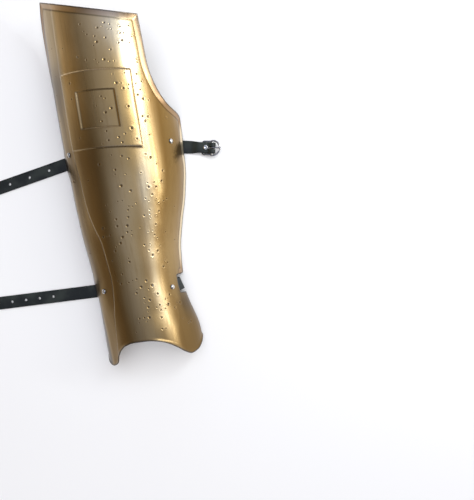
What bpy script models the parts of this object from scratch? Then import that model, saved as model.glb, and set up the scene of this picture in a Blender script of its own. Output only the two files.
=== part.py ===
"""Greave: a formed sheet shin plate with a raised panel, two tongue straps and two buckle straps.

The plate lies on its rims, open side down.  x runs across the shin (buckle side positive), y along it
towards the knee, z up.  The sheet is described as a flat pattern: s is the distance round the arch from
its top, y the distance along it from the instep end.  Lengths are in metres.
"""
import math

import bmesh
import bpy
import numpy as np
from mathutils import Matrix, Vector
from mathutils.geometry import delaunay_2d_cdt

# shin plate
LENGTH = 0.420
CALF_HALF_WIDTH = 0.071
CALF_CREST = 0.066
SHIN_SWAY = 0.0129
PLATE = 0.0012
KNEE_SLANT = math.radians(16.9)
KNEE_RAKE = math.radians(23.0)
INSTEP_RISE = 0.0255
LIP_WIDTH = 0.006
LIP_TURN = 0.002
INSTEP_LIP_WIDTH = 0.003
INSTEP_LIP_TURN = 0.001

# the ankle lobes flare out below LOBE_TOP (a share of the length), on the sides of the arch
LOBE_FLARE = 0.0042
LOBE_TOP = 0.19
LOBE_RAMP = 0.14
LOBE_TURN = math.radians(50.0)
LOBE_SPREAD = math.radians(38.0)

# raised panel and the square sunk in it
PANEL_WIDTH = 0.083
PANEL_HEIGHT = 0.0860
PANEL_SHIFT = -0.0105
PANEL_ALONG = 0.669
PANEL_SLANT = math.radians(7.0)
PANEL_RAISE = 0.0015
PANEL_BEVEL = 0.0016
SQUARE_WIDTH = 0.0435
SQUARE_HEIGHT = 0.0420
SQUARE_SINK = 0.0015

# crease down the shin
CREASE_DROP = 0.0020
CREASE_STEP = 0.0030
CREASE_FADE = 0.0260

# notch in the buckle-side rim that lets the ankle strap out
NOTCH_ALONG = 0.189
NOTCH_LENGTH = 0.0200
NOTCH_HEIGHT = 0.0200
NOTCH_RAMP = 0.0020

# straps
STRAP_WIDTH = 0.0150
STRAP_THICK = 0.0022
STRAP_BEND = 0.0030
STRAP_TOP = 0.0090
CURL_RADIUS = 0.0062
FIT_GAP = 0.0003
WALL_GAP = 0.00045
HOLE_RADIUS = 0.0016

# rivets
DOME_RADIUS = 0.00275
DOME_HEIGHT = 0.0017
DOME_FALL = 0.85
SHANK_RADIUS = 0.0012
BURR_RADIUS = 0.0022
BURR_THICK = 0.0005
CHAPE_DOME_RADIUS = 0.0030
CHAPE_DOME_HEIGHT = 0.0013

# buckles
WIRE_RADIUS = 0.0011
RING_RADIUS = 0.0089
RAIL_HALF_WIDTH = 0.0080
RAIL_BACK = 0.0126
RAIL_CORNER = 0.0022
RAIL_START = 0.0030
CHAPE_RIVET_BACK = 0.0080
CHAPE_END_BACK = 0.0106
PRONG_RADIUS = 0.0009
PRONG_REACH = 0.0118
PRONG_POINT = 0.0012
PRONG_TIP = 0.00040
SIDE_GAP = 0.0006
SLOT_BACK = 0.0049
FOLD_START = 0.0008
LAY_LENGTH = 0.0110

# mesh fineness
GRID = 0.0092
EDGE_STEP = 0.0070
LINE_STEP = 0.0080
WALL_STEP = 0.0040
CLEAR = 0.34

# along the shin: sway of the crest line, half width and crest height, as shares
SECTIONS = (
    # along, sway, half width, crest
    (0.00, 0.50, 0.735, 0.880),
    (0.07, 0.41, 0.728, 0.850),
    (0.14, 0.155, 0.714, 0.803),
    (0.20, 0.00, 0.708, 0.792),
    (0.28, 0.01, 0.742, 0.832),
    (0.36, 0.18, 0.820, 0.885),
    (0.44, 0.48, 0.900, 0.936),
    (0.52, 0.67, 0.946, 0.970),
    (0.62, 0.70, 0.975, 0.990),
    (0.74, 0.76, 0.986, 1.000),
    (0.88, 0.92, 1.000, 1.000),
    (1.00, 1.00, 1.000, 1.000),
)

# height of each rim over the floor, as a share of the crest there
CREASE_RIM = (
    # along, height
    (0.00, 0.060),
    (0.05, 0.008),
    (0.09, 0.000),
    (0.20, 0.012),
    (0.40, 0.012),
    (0.60, 0.010),
    (0.70, 0.000),
    (0.76, 0.020),
    (0.83, 0.080),
    (0.905, 0.190),
    (0.957, 0.326),
    (1.00, 0.470),
    (1.05, 0.560),
)
BUCKLE_RIM = (
    # along, height
    (0.00, 0.060),
    (0.05, 0.010),
    (0.09, 0.000),
    (0.20, 0.010),
    (0.40, 0.008),
    (0.60, 0.008),
    (0.648, 0.010),
)
CUTAWAY = (
    # along, height
    (0.648, 0.010),
    (0.652, 0.110),
    (0.660, 0.340),
    (0.672, 0.495),
    (0.688, 0.585),
    (0.706, 0.645),
    (0.750, 0.722),
    (0.783, 0.747),
    (0.825, 0.761),
    (0.900, 0.780),
    (1.000, 0.800),
)

# instep edge: rise over the lobes, across the arch from crease side to buckle side
INSTEP_EDGE = (
    # across, rise
    (-1.00, 0.50),
    (-0.85, 0.18),
    (-0.70, 0.02),
    (-0.58, 0.12),
    (-0.49, 0.43),
    (-0.41, 0.70),
    (-0.30, 0.91),
    (-0.16, 1.00),
    (0.00, 0.985),
    (0.14, 0.91),
    (0.28, 0.72),
    (0.40, 0.46),
    (0.52, 0.16),
    (0.63, 0.01),
    (0.75, 0.07),
    (0.87, 0.28),
    (1.00, 0.60),
)

# crease line: side offset as a share of the calf's half width, drop as a share of CREASE_DROP
CREASE = (
    # along, offset, drop
    (0.00, -0.640, 0.6),
    (0.081, -0.530, 1.0),
    (0.136, -0.431, 1.0),
    (0.183, -0.344, 1.0),
    (0.231, -0.315, 1.0),
    (0.274, -0.334, 1.0),
    (0.326, -0.376, 1.0),
    (0.377, -0.503, 1.0),
    (0.427, -0.613, 1.0),
    (0.502, -0.690, 0.8),
    (0.577, -0.732, 0.4),
    (0.780, -0.732, 0.3),
    (1.000, -0.700, 0.2),
)

# where each strap is riveted (along, degrees round the arch) and its heading on the floor
STRAPS = {
    "calf_tongue": {"along": 0.579, "turn": -55.1, "heading": 189.4},
    "ankle_tongue": {"along": 0.204, "turn": -45.0, "heading": 177.2},
    "calf_buckle": {"along": 0.571, "turn": 59.5, "heading": -13.4},
    "ankle_buckle": {"along": 0.184, "turn": 53.7, "heading": 15.0},
}
CALF_TONGUE_FREE = 0.165
ANKLE_TONGUE_FREE = 0.155
BUCKLE_FREE = 0.036
TUCKED_FREE = 0.040
TIP_LENGTH = 0.012
TIP_TURN = 1.35
CALF_HOLES = {"count": 5, "first": 0.0235, "pitch": 0.0246}
ANKLE_HOLES = {"count": 6, "first": 0.0535, "pitch": 0.0164}
LIFT_REACH = 0.016

UP = np.array([0.0, 0.0, 1.0])

BRASS = ("antique_brass", (0.50, 0.36, 0.15, 1.0), 1.0, 0.34)
LEATHER = ("black_leather", (0.018, 0.020, 0.019, 1.0), 0.0, 0.48)
NICKEL = ("nickel", (0.62, 0.61, 0.58, 1.0), 1.0, 0.24)


def clear_scene():
    for thing in list(bpy.data.objects):
        bpy.data.objects.remove(thing, do_unlink=True)


def material(spec):
    name, color, metallic, roughness = spec
    found = bpy.data.materials.get(name)
    if found:
        return found
    made = bpy.data.materials.new(name)
    made.use_nodes = True
    shader = made.node_tree.nodes["Principled BSDF"]
    shader.inputs["Base Color"].default_value = color
    shader.inputs["Metallic"].default_value = metallic
    shader.inputs["Roughness"].default_value = roughness
    return made


def add_object(name, mesh, spec, parent):
    mesh.materials.append(material(spec))
    thing = bpy.data.objects.new(name, mesh)
    bpy.context.scene.collection.objects.link(thing)
    thing.parent = parent
    return thing


def smooth(x):
    x = np.clip(x, 0.0, 1.0)
    return x * x * (3.0 - 2.0 * x)


def curve(table, column, at):
    """Read a column of a table at a share, on a smooth curve through its rows."""
    rows = np.array([row[:1] + row[column:column + 1] for row in table])
    x = rows[:, 0]
    v = rows[:, 1]
    chords = np.diff(v) / np.diff(x)
    slopes = np.zeros(len(x))
    slopes[1:-1] = np.where(chords[:-1] * chords[1:] > 0.0,
                            2.0 * chords[:-1] * chords[1:] / (chords[:-1] + chords[1:] + 1e-12), 0.0)
    slopes[0] = chords[0]
    slopes[-1] = chords[-1]
    at = np.clip(at, x[0], x[-1])
    cell = np.clip(np.searchsorted(x, at, side="right") - 1, 0, len(x) - 2)
    width = x[cell + 1] - x[cell]
    t = (at - x[cell]) / width
    return ((2 * t ** 3 - 3 * t ** 2 + 1) * v[cell] + (t ** 3 - 2 * t ** 2 + t) * width * slopes[cell]
            + (3 * t ** 2 - 2 * t ** 3) * v[cell + 1] + (t ** 3 - t ** 2) * width * slopes[cell + 1])


# the arch

def section(y):
    """Centre line, half width and crest height of the arch at y."""
    along = np.asarray(y, dtype=float) / LENGTH
    centre = SHIN_SWAY * curve(SECTIONS, 1, along)
    half = CALF_HALF_WIDTH * curve(SECTIONS, 2, along)
    crest = CALF_CREST * curve(SECTIONS, 3, along)
    return centre, half, crest


def girth(y):
    """Mean radius of the arch at y, which turns an angle into a distance round it."""
    _, half, crest = section(y)
    return 0.5 * (half + crest)


def arch(s, y):
    centre, half, crest = section(y)
    angle = s / (0.5 * (half + crest))
    return np.stack([centre + half * np.sin(angle), y + 0.0 * s, crest * np.cos(angle)], axis=-1)


def arch_normal(s, y):
    step = 0.0004
    round_it = arch(s + step, y) - arch(s - step, y)
    along_it = arch(s, y + step) - arch(s, y - step)
    normal = np.cross(round_it, along_it)
    return normal / np.linalg.norm(normal, axis=-1, keepdims=True)


def strap_seat(name):
    """Flat-pattern place of a strap's rivet."""
    spec = STRAPS[name]
    y = spec["along"] * LENGTH
    return math.radians(spec["turn"]) * float(girth(y)), y


def rim_crossing(name):
    """Where a strap's line on the floor passes under the rim, as y."""
    spec = STRAPS[name]
    s, y = strap_seat(name)
    start = arch(np.array(s), np.array(y))
    centre, half, _ = section(y)
    reach = abs(centre + math.copysign(half, s) - start[0])
    return y + reach * math.tan(math.radians(spec["heading"])) * math.copysign(1.0, s)


STRAP_LIFT = STRAP_THICK / 2 + STRAP_BEND + FIT_GAP


def lifted(height, y, names):
    """Raise a rim over the straps that pass under it."""
    for name in names:
        near = 1.0 - smooth((np.abs(y - rim_crossing(name)) - STRAP_WIDTH / 2) / LIFT_REACH)
        height = np.maximum(height, STRAP_LIFT * near)
    return height


def rim_turn(y, side):
    """Angle round the arch at which the rim runs, from its height over the floor."""
    y = np.asarray(y, dtype=float)
    along = y / LENGTH
    _, _, crest = section(y)
    if side < 0:
        height = lifted(crest * curve(CREASE_RIM, 1, along), y, ("calf_tongue", "ankle_tongue"))
    else:
        low = lifted(crest * curve(BUCKLE_RIM, 1, along), y, ("calf_buckle",))
        inside = NOTCH_LENGTH / 2 - np.abs(y - NOTCH_ALONG * LENGTH)
        low = np.maximum(low, NOTCH_HEIGHT * smooth(inside / NOTCH_RAMP + 1.0))
        height = np.where(along > CUTAWAY[0][0], crest * curve(CUTAWAY, 1, along), low)
    return side * np.arccos(np.clip(height / crest, 0.0, 1.0))


def knee_reach():
    """Where the knee's cutting plane meets the y axis, so that the crease-side corner ends at LENGTH."""
    turn = rim_turn(LENGTH, -1)
    corner = arch(turn * girth(LENGTH), np.array(LENGTH))
    return LENGTH + math.tan(KNEE_SLANT) * corner[0] + math.tan(KNEE_RAKE) * corner[2]


def knee_y(turn):
    """The knee edge is a plane cut: it slants across the shin and rakes back over the crest."""
    turn = np.asarray(turn, dtype=float)
    y = np.full_like(turn, LENGTH)
    for _ in range(12):
        point = arch(turn * girth(y), y)
        y = knee_reach() - math.tan(KNEE_SLANT) * point[..., 0] - math.tan(KNEE_RAKE) * point[..., 2]
    return y


def instep_y(turn):
    return INSTEP_RISE * curve(INSTEP_EDGE, 1, np.asarray(turn) / (math.pi / 2))


def corner_y(side, edge_y, guess):
    """Where a rim meets the knee edge or the instep edge."""
    y = guess
    for _ in range(25):
        y = float(edge_y(rim_turn(y, side)))
    return y


# the flat pattern

def stations(start, end, step, extra=()):
    count = max(2, int(round(abs(end - start) / step)) + 1)
    values = list(np.linspace(start, end, count))
    low, high = min(start, end), max(start, end)
    for value in extra:
        if low < value < high:
            values = [v for v in values if abs(v - value) > step * 0.3 or v in (start, end)]
            values.append(value)
    return np.array(sorted(set(values), reverse=end < start))


def rim_line(side, step):
    """One side rim as flat-pattern points, from the instep up to the knee."""
    start = corner_y(side, instep_y, 0.0)
    end = corner_y(side, knee_y, LENGTH)
    extra = []
    if side > 0:
        middle = NOTCH_ALONG * LENGTH
        half = NOTCH_LENGTH / 2
        extra = [middle - half - NOTCH_RAMP, middle - half, middle + half, middle + half + NOTCH_RAMP]
        extra += [row[0] * LENGTH for row in CUTAWAY[:7]]
    y = stations(start, end, step, extra)
    return np.stack([rim_turn(y, side) * girth(y), y], axis=-1)


def end_line(edge_y, guess, step):
    """The knee or instep edge, from the crease side to the buckle side."""
    first = float(rim_turn(corner_y(-1, edge_y, guess), -1))
    last = float(rim_turn(corner_y(1, edge_y, guess), 1))
    turn = stations(first, last, step / CALF_HALF_WIDTH)
    y = edge_y(turn)
    return np.stack([turn * girth(y), y], axis=-1)


def outline(step):
    """The plate's outline as one closed loop, anticlockwise in the flat pattern."""
    instep = end_line(instep_y, 0.0, step)
    buckle = rim_line(1, step)
    knee = end_line(knee_y, LENGTH, step)[::-1]
    crease = rim_line(-1, step)[::-1]
    return np.concatenate([instep[:-1], buckle[:-1], knee[:-1], crease[:-1]])


def distance_to(line, points):
    """Least distance from each point to a polyline."""
    a = line[:-1][None, :, :]
    b = line[1:][None, :, :]
    p = points[:, None, :]
    run = b - a
    t = np.clip(((p - a) * run).sum(-1) / (run * run).sum(-1), 0.0, 1.0)
    return np.sqrt((((a + t[..., None] * run) - p) ** 2).sum(-1)).min(axis=1)


def inside_loop(loop, points):
    x, y = points[:, 0], points[:, 1]
    inside = np.zeros(len(points), dtype=bool)
    for (ax, ay), (bx, by) in zip(loop, np.roll(loop, -1, axis=0)):
        crosses = (ay > y) != (by > y)
        at = ax + (y - ay) * (bx - ax) / (by - ay if by != ay else 1e-12)
        inside ^= crosses & (x < at)
    return inside


# relief: how far the sheet stands off the plain arch

def panel_place(s, y):
    """Place within the raised panel, whose top and bottom edges slant."""
    across = s - PANEL_SHIFT
    along = y - PANEL_ALONG * LENGTH + math.tan(PANEL_SLANT) * across
    return across, along


def crease_line(y):
    return CALF_HALF_WIDTH * curve(CREASE, 1, y / LENGTH)


LIP_LINES = {}


def lip_lines():
    """The edges with the wide lip and those with the narrow one."""
    if not LIP_LINES:
        buckle = rim_line(1, EDGE_STEP / 2)
        above = buckle[buckle[:, 1] > NOTCH_ALONG * LENGTH + NOTCH_LENGTH / 2 + NOTCH_RAMP / 2]
        knee = end_line(knee_y, LENGTH, EDGE_STEP)[::-1]
        crease = rim_line(-1, EDGE_STEP)
        LIP_LINES["wide"] = np.concatenate([above, knee[1:-1], crease[crease[:, 1] > LOBE_TOP * LENGTH][::-1]])
        LIP_LINES["narrow"] = end_line(instep_y, 0.0, EDGE_STEP / 2)
    return LIP_LINES["wide"], LIP_LINES["narrow"]


def relief(s, y, lips=True):
    across, along = panel_place(s, y)
    edge = np.minimum(PANEL_WIDTH / 2 - np.abs(across), PANEL_HEIGHT / 2 - np.abs(along))
    inner = np.minimum(SQUARE_WIDTH / 2 - np.abs(across), SQUARE_HEIGHT / 2 - np.abs(along))
    height = PANEL_RAISE * smooth(edge / PANEL_BEVEL) - SQUARE_SINK * smooth(inner / PANEL_BEVEL)
    beyond = crease_line(y) - s
    drop = CREASE_DROP * curve(CREASE, 2, y / LENGTH)
    height -= drop * smooth(beyond / CREASE_STEP) * (1.0 - smooth((beyond - CREASE_STEP) / CREASE_FADE))
    turn = np.abs(s) / girth(y)
    low = smooth((turn - LOBE_TURN) / LOBE_SPREAD)
    height += LOBE_FLARE * low * smooth((LOBE_TOP - y / LENGTH) / LOBE_RAMP)
    if not lips:
        return height
    wide, narrow = lip_lines()
    points = np.stack([np.ravel(s), np.ravel(y)], axis=-1)
    near = np.clip(1.0 - distance_to(wide, points) / LIP_WIDTH, 0.0, 1.0).reshape(np.shape(s))
    height += LIP_TURN * near ** 2
    near = np.clip(1.0 - distance_to(narrow, points) / INSTEP_LIP_WIDTH, 0.0, 1.0).reshape(np.shape(s))
    height += INSTEP_LIP_TURN * near ** 2
    return height


def surface(s, y, depth=0.0, lips=True):
    """A point of the formed sheet, a given depth under its outer face."""
    s = np.asarray(s, dtype=float)
    y = np.asarray(y, dtype=float)
    return arch(s, y) + arch_normal(s, y) * (relief(s, y, lips) - depth)[..., None]


def sheet_normal(s, y):
    """Outward normal of the sheet without its turned lips."""
    step = 0.0008
    round_it = surface(s + step, y, lips=False) - surface(s - step, y, lips=False)
    along_it = surface(s, y + step, lips=False) - surface(s, y - step, lips=False)
    normal = np.cross(round_it, along_it)
    return normal / np.linalg.norm(normal)


# the plate

def circle(middle, radius, sides):
    angle = np.arange(sides) * 2 * math.pi / sides
    return np.array(middle) + radius * np.stack([np.cos(angle), np.sin(angle)], axis=-1)


def panel_loop(width, height, step):
    """A slanted rectangle of the panel, in the flat pattern."""
    corners = [(-1, -1), (1, -1), (1, 1), (-1, 1)]
    points = []
    for (ax, ay), (bx, by) in zip(corners, corners[1:] + corners[:1]):
        count = max(2, int(round((width if ay == by else height) / step)))
        for i in range(count):
            x = (ax + (bx - ax) * i / count) * width / 2
            y = (ay + (by - ay) * i / count) * height / 2
            points.append((x + PANEL_SHIFT, y + PANEL_ALONG * LENGTH - math.tan(PANEL_SLANT) * x))
    return np.array(points)


def plate_lines():
    """Closed loops and open lines that the plate's mesh follows, and the holes through it."""
    loops = [outline(EDGE_STEP)]
    for width, height in ((PANEL_WIDTH, PANEL_HEIGHT), (SQUARE_WIDTH, SQUARE_HEIGHT)):
        loops.append(panel_loop(width, height, LINE_STEP))
        loops.append(panel_loop(width - 2 * PANEL_BEVEL, height - 2 * PANEL_BEVEL, LINE_STEP))
    holes = [circle(strap_seat(name), SHANK_RADIUS + FIT_GAP, 10) for name in STRAPS]
    bottom = PANEL_ALONG * LENGTH - PANEL_HEIGHT / 2
    lines = []
    for shift in (0.0, -CREASE_STEP):
        y = np.arange(INSTEP_RISE + LINE_STEP, bottom - LINE_STEP / 2, LINE_STEP)
        lines.append(np.stack([crease_line(y) + shift, y], axis=-1))
    return loops, holes, lines


def lip_points(loop):
    """Points a lip's width, and half of it, inside the outline."""
    ahead = np.roll(loop, -1, axis=0) - np.roll(loop, 1, axis=0)
    inward = np.stack([-ahead[:, 1], ahead[:, 0]], axis=-1)
    inward /= np.linalg.norm(inward, axis=1, keepdims=True)
    closed = np.concatenate([loop, loop[:1]])
    kept = []
    for inset in (LIP_WIDTH / 2, LIP_WIDTH):
        points = loop + inward * inset
        points = points[inside_loop(loop, points)]
        kept.append(points[distance_to(closed, points) > inset * 0.9])
    return np.concatenate(kept)


def fill_points(loops, holes, lines):
    """An even field of points inside the plate, clear of the lines."""
    outer = loops[0]
    low = outer.min(axis=0)
    high = outer.max(axis=0)
    rows = []
    for i, y in enumerate(np.arange(low[1] + GRID / 2, high[1], GRID * math.sqrt(3.0) / 2)):
        s = np.arange(low[0] + (GRID / 2 if i % 2 else 0.0), high[0], GRID)
        rows.append(np.stack([s, np.full_like(s, y)], axis=-1))
    points = np.concatenate(rows)
    points = points[inside_loop(outer, points)]
    closed = np.concatenate([outer, outer[:1]])
    points = points[distance_to(closed, points) > LIP_WIDTH + GRID * CLEAR]
    for line in loops[1:] + holes:
        points = points[distance_to(np.concatenate([line, line[:1]]), points) > GRID * CLEAR]
    for line in lines:
        points = points[distance_to(line, points) > GRID * CLEAR]
    for name in STRAPS:
        points = points[np.linalg.norm(points - np.array(strap_seat(name)), axis=1) > GRID * CLEAR]
    return points


def sheet_triangles():
    """The flat pattern cut into triangles that follow its lines, without the rivet holes."""
    loops, holes, lines = plate_lines()
    points = []
    edges = []
    for group, closed in ((loops, True), (holes, True), (lines, False)):
        for line in group:
            first = len(points)
            points.extend(map(tuple, line))
            last = len(points)
            edges += [(i, i + 1) for i in range(first, last - 1)]
            if closed:
                edges.append((last - 1, first))
    points.extend(map(tuple, lip_points(loops[0])))
    points.extend(map(tuple, fill_points(loops, holes, lines)))
    flat, _, faces, *_ = delaunay_2d_cdt([Vector(p) for p in points], edges, [], 0, 1e-7)
    flat = np.array([tuple(p) for p in flat])
    middles = np.array([flat[list(face)].mean(axis=0) for face in faces])
    keep = inside_loop(loops[0], middles)
    for hole in holes:
        keep &= ~inside_loop(hole, middles)
    return flat, [face for face, kept in zip(faces, keep) if kept]


def make_plate(parent):
    flat, faces = sheet_triangles()
    outer = surface(flat[:, 0], flat[:, 1])
    inner = surface(flat[:, 0], flat[:, 1], PLATE)
    count = len(flat)
    used = {}
    for face in faces:
        for a, b in zip(face, face[1:] + face[:1]):
            used[(a, b)] = True
    walls = [(b, a, a + count, b + count) for a, b in used if (b, a) not in used]
    backs = [tuple(i + count for i in reversed(face)) for face in faces]
    mesh = bpy.data.meshes.new("shin_plate")
    mesh.from_pydata([tuple(p) for p in np.concatenate([outer, inner])], [], list(faces) + backs + walls)
    shape = bmesh.new()
    shape.from_mesh(mesh)
    bmesh.ops.delete(shape, geom=[v for v in shape.verts if not v.link_faces], context="VERTS")
    shape.to_mesh(mesh)
    shape.free()
    mesh.shade_smooth()
    mesh.set_sharp_from_angle(angle=math.radians(35.0))
    return add_object("shin_plate", mesh, BRASS, parent)


# swept pieces

def unit(v):
    return np.array(v, dtype=float) / np.linalg.norm(v)


def sweep(name, rings, closed=False):
    """A closed body through rings of points, capped at both ends unless it closes on itself."""
    sides = len(rings[0])
    vertices = [tuple(p) for ring in rings for p in ring]
    faces = []
    last = len(rings) if closed else len(rings) - 1
    for i in range(last):
        for j in range(sides):
            k = (j + 1) % sides
            n = (i + 1) % len(rings)
            faces.append((i * sides + j, i * sides + k, n * sides + k, n * sides + j))
    if not closed:
        faces.append(tuple(reversed(range(sides))))
        faces.append(tuple((len(rings) - 1) * sides + j for j in range(sides)))
    mesh = bpy.data.meshes.new(name)
    mesh.from_pydata(vertices, [], faces)
    shape = bmesh.new()
    shape.from_mesh(mesh)
    bmesh.ops.recalc_face_normals(shape, faces=shape.faces)
    shape.to_mesh(mesh)
    shape.free()
    return mesh


def tube_rings(points, radii, sides, side_axis, closed=False):
    """Round rings along a path that lies square to side_axis."""
    points = np.array(points)
    rings = []
    for i, point in enumerate(points):
        before = points[i - 1] if closed or i else points[i]
        after = points[(i + 1) % len(points)] if closed or i + 1 < len(points) else points[i]
        tangent = unit(after - before)
        normal = unit(np.cross(side_axis, tangent))
        ring = []
        for j in range(sides):
            angle = 2 * math.pi * (j + 0.5) / sides
            ring.append(point + radii[i] * (math.cos(angle) * normal + math.sin(angle) * np.array(side_axis)))
        rings.append(ring)
    return rings


def turned(name, profile, sides):
    """A body turned about z from a profile of (radius, height) that starts and ends on the axis."""
    vertices = [(0.0, 0.0, profile[0][1])]
    for radius, height in profile[1:-1]:
        for j in range(sides):
            angle = 2 * math.pi * j / sides
            vertices.append((radius * math.cos(angle), radius * math.sin(angle), height))
    vertices.append((0.0, 0.0, profile[-1][1]))
    faces = []
    rows = len(profile) - 2
    for j in range(sides):
        k = (j + 1) % sides
        faces.append((0, 1 + j, 1 + k))
        for i in range(rows - 1):
            a = 1 + i * sides
            b = a + sides
            faces.append((a + j, b + j, b + k, a + k))
        a = 1 + (rows - 1) * sides
        faces.append((a + j, len(vertices) - 1, a + k))
    mesh = bpy.data.meshes.new(name)
    mesh.from_pydata(vertices, [], faces)
    mesh.shade_smooth()
    mesh.set_sharp_from_angle(angle=math.radians(40.0))
    return mesh


def basis(origin, x_axis, y_axis, z_axis):
    made = Matrix.Identity(4)
    for column, axis in enumerate((x_axis, y_axis, z_axis, origin)):
        for row in range(3):
            made[row][column] = float(axis[row])
    return made


def facing(origin, normal, along):
    """A matrix whose z runs along a normal and whose x lies near a given direction."""
    z_axis = unit(normal)
    y_axis = unit(np.cross(z_axis, along))
    return basis(origin, np.cross(y_axis, z_axis), y_axis, z_axis)


# straps: each is a list of stops (point, face normal) along the leather's middle

def plan_heading(name):
    angle = math.radians(STRAPS[name]["heading"])
    return np.array([math.cos(angle), math.sin(angle), 0.0])


def wall_stop(name, turn):
    """A stop against the inner wall, in the upright plane of the strap's heading."""
    s0, y0 = strap_seat(name)
    start = surface(s0, y0)
    slope = math.tan(math.radians(STRAPS[name]["heading"]))
    y = y0
    for _ in range(6):
        s = turn * float(girth(y))
        point = surface(s, y, PLATE + WALL_GAP + STRAP_THICK / 2, lips=False)
        y = y0 + (point[0] - start[0]) * slope
    return point, sheet_normal(s, y)


def wall_stops(name, stop_height):
    """Stops from the strap's inner end down the wall, to a height over the floor."""
    s0, y0 = strap_seat(name)
    side = math.copysign(1.0, s0)
    radius = float(girth(y0))
    first = s0 / radius - side * STRAP_TOP / radius
    high, low = first, side * math.pi / 2
    for _ in range(24):
        last = (high + low) / 2
        if wall_stop(name, last)[0][2] > stop_height:
            high = last
        else:
            low = last
    count = int(round(abs(last - first) * radius / WALL_STEP)) + 1
    return [wall_stop(name, turn) for turn in np.linspace(first, last, count)]


def plane_point(name, origin, reach, height):
    return np.array([origin[0], origin[1], height]) + plan_heading(name) * reach


def plane_normal(name, angle):
    """Face normal in the heading's upright plane for a run at an angle over the horizontal."""
    return UP * math.cos(angle) - plan_heading(name) * math.sin(angle)


def bend(name, stops, turn_to, radius, count):
    """Add an arc in the upright plane, from the last stop's direction to another one."""
    origin, last_normal = stops[-1]
    heading = plan_heading(name)
    side = np.cross(heading, UP)
    lean = float(last_normal @ side)
    travel = unit(origin - stops[-2][0])
    start = math.atan2(travel[2], float(travel @ heading))
    turning = math.copysign(1.0, turn_to - start)
    reach = 0.0
    height = origin[2]
    made = []
    for i in range(1, count + 1):
        before = start + (turn_to - start) * (i - 1) / count
        angle = start + (turn_to - start) * i / count
        reach += turning * radius * (math.sin(angle) - math.sin(before))
        height -= turning * radius * (math.cos(angle) - math.cos(before))
        normal = unit(plane_normal(name, angle) + side * lean * (1 - i / count))
        made.append((plane_point(name, origin, reach, height), normal))
    return stops + made


def strap_rings(stops, widths):
    """Rings of a flat strap with its edges eased by a small chamfer."""
    rings = []
    points = np.array([stop[0] for stop in stops])
    for i, (point, normal) in enumerate(stops):
        before = points[max(i - 1, 0)]
        after = points[min(i + 1, len(points) - 1)]
        tangent = unit(after - before)
        side = unit(np.cross(tangent, normal))
        face = np.cross(side, tangent)
        half = widths[i] / 2
        thick = STRAP_THICK / 2
        rings.append([point + side * half * a + face * thick * b for a, b in ((-1, -1), (1, -1), (1, 1), (-1, 1))])
    return rings


def path_place(stops, distance, start):
    """Point, tangent and normal at a distance along the stops, counted from stop number start."""
    points = [stop[0] for stop in stops]
    for i in range(start, len(points) - 1):
        length = float(np.linalg.norm(points[i + 1] - points[i]))
        if distance <= length:
            share = distance / length
            point = points[i] + (points[i + 1] - points[i]) * share
            return point, unit(points[i + 1] - points[i]), stops[i + 1][1]
        distance -= length
    raise ValueError("the strap is too short for its holes")


def cutter(name, pieces, parent):
    """One hidden mesh of all the cuts through a strap."""
    shape = bmesh.new()
    for mesh, matrix in pieces:
        first = len(shape.verts)
        shape.from_mesh(mesh)
        shape.verts.ensure_lookup_table()
        bmesh.ops.transform(shape, matrix=matrix, verts=shape.verts[first:])
    mesh = bpy.data.meshes.new(name)
    shape.to_mesh(mesh)
    shape.free()
    thing = bpy.data.objects.new(name, mesh)
    bpy.context.scene.collection.objects.link(thing)
    thing.parent = parent
    thing.hide_render = True
    thing.display_type = "WIRE"
    return thing


def drill(radius):
    reach = 2.5 * STRAP_THICK
    return turned("drill", [(0, reach), (radius, reach), (radius, -reach), (0, -reach)], 10)


def box_mesh(low, high):
    shape = bmesh.new()
    bmesh.ops.create_cube(shape, size=1.0)
    for vertex in shape.verts:
        vertex.co = Vector([low[i] if vertex.co[i] < 0 else high[i] for i in range(3)])
    mesh = bpy.data.meshes.new("box")
    shape.to_mesh(mesh)
    shape.free()
    return mesh


def cut(thing, tool, operation="DIFFERENCE"):
    modifier = thing.modifiers.new(operation.lower(), "BOOLEAN")
    modifier.operation = operation
    modifier.object = tool
    modifier.solver = "EXACT"


def rivet_cut(name):
    s, y = strap_seat(name)
    normal = sheet_normal(s, y)
    point = surface(s, y) - normal * (PLATE + WALL_GAP + STRAP_THICK / 2)
    return drill(SHANK_RADIUS + FIT_GAP), facing(point, normal, (0.0, 1.0, 0.0))


def make_tongue_strap(name, free, holes, parent):
    stops = wall_stops(name, STRAP_THICK / 2 + STRAP_BEND)
    travel = unit(stops[-1][0] - stops[-2][0])
    drop = stops[-1][0][2] - STRAP_THICK / 2
    fall = -math.atan2(travel[2], float(travel @ plan_heading(name)))
    stops = bend(name, stops, 0.0, drop / (1 - math.cos(fall)), 4)
    rim = len(stops) - 1
    origin = stops[-1][0]
    run = np.linspace(0.0, free - TIP_LENGTH, 8)[1:]
    turns = np.linspace(0.0, TIP_TURN, 5)[1:]
    tip = free - TIP_LENGTH * (1 - np.sin(turns))
    for reach in np.concatenate([run, tip]):
        stops.append((plane_point(name, origin, reach, origin[2]), UP))
    widths = [STRAP_WIDTH] * (len(stops) - len(turns)) + list(STRAP_WIDTH * np.cos(turns))
    mesh = sweep(name + "_strap", strap_rings(stops, widths))
    thing = add_object(name + "_strap", mesh, LEATHER, parent)
    pieces = [rivet_cut(name)]
    for i in range(holes["count"]):
        point, tangent, normal = path_place(stops, holes["first"] + i * holes["pitch"], rim)
        pieces.append((drill(HOLE_RADIUS), facing(point, normal, tangent)))
    cut(thing, cutter(name + "_cuts", pieces, parent))
    return thing


# buckles: a is the distance past the bar along the strap, b the height towards the face side

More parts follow.
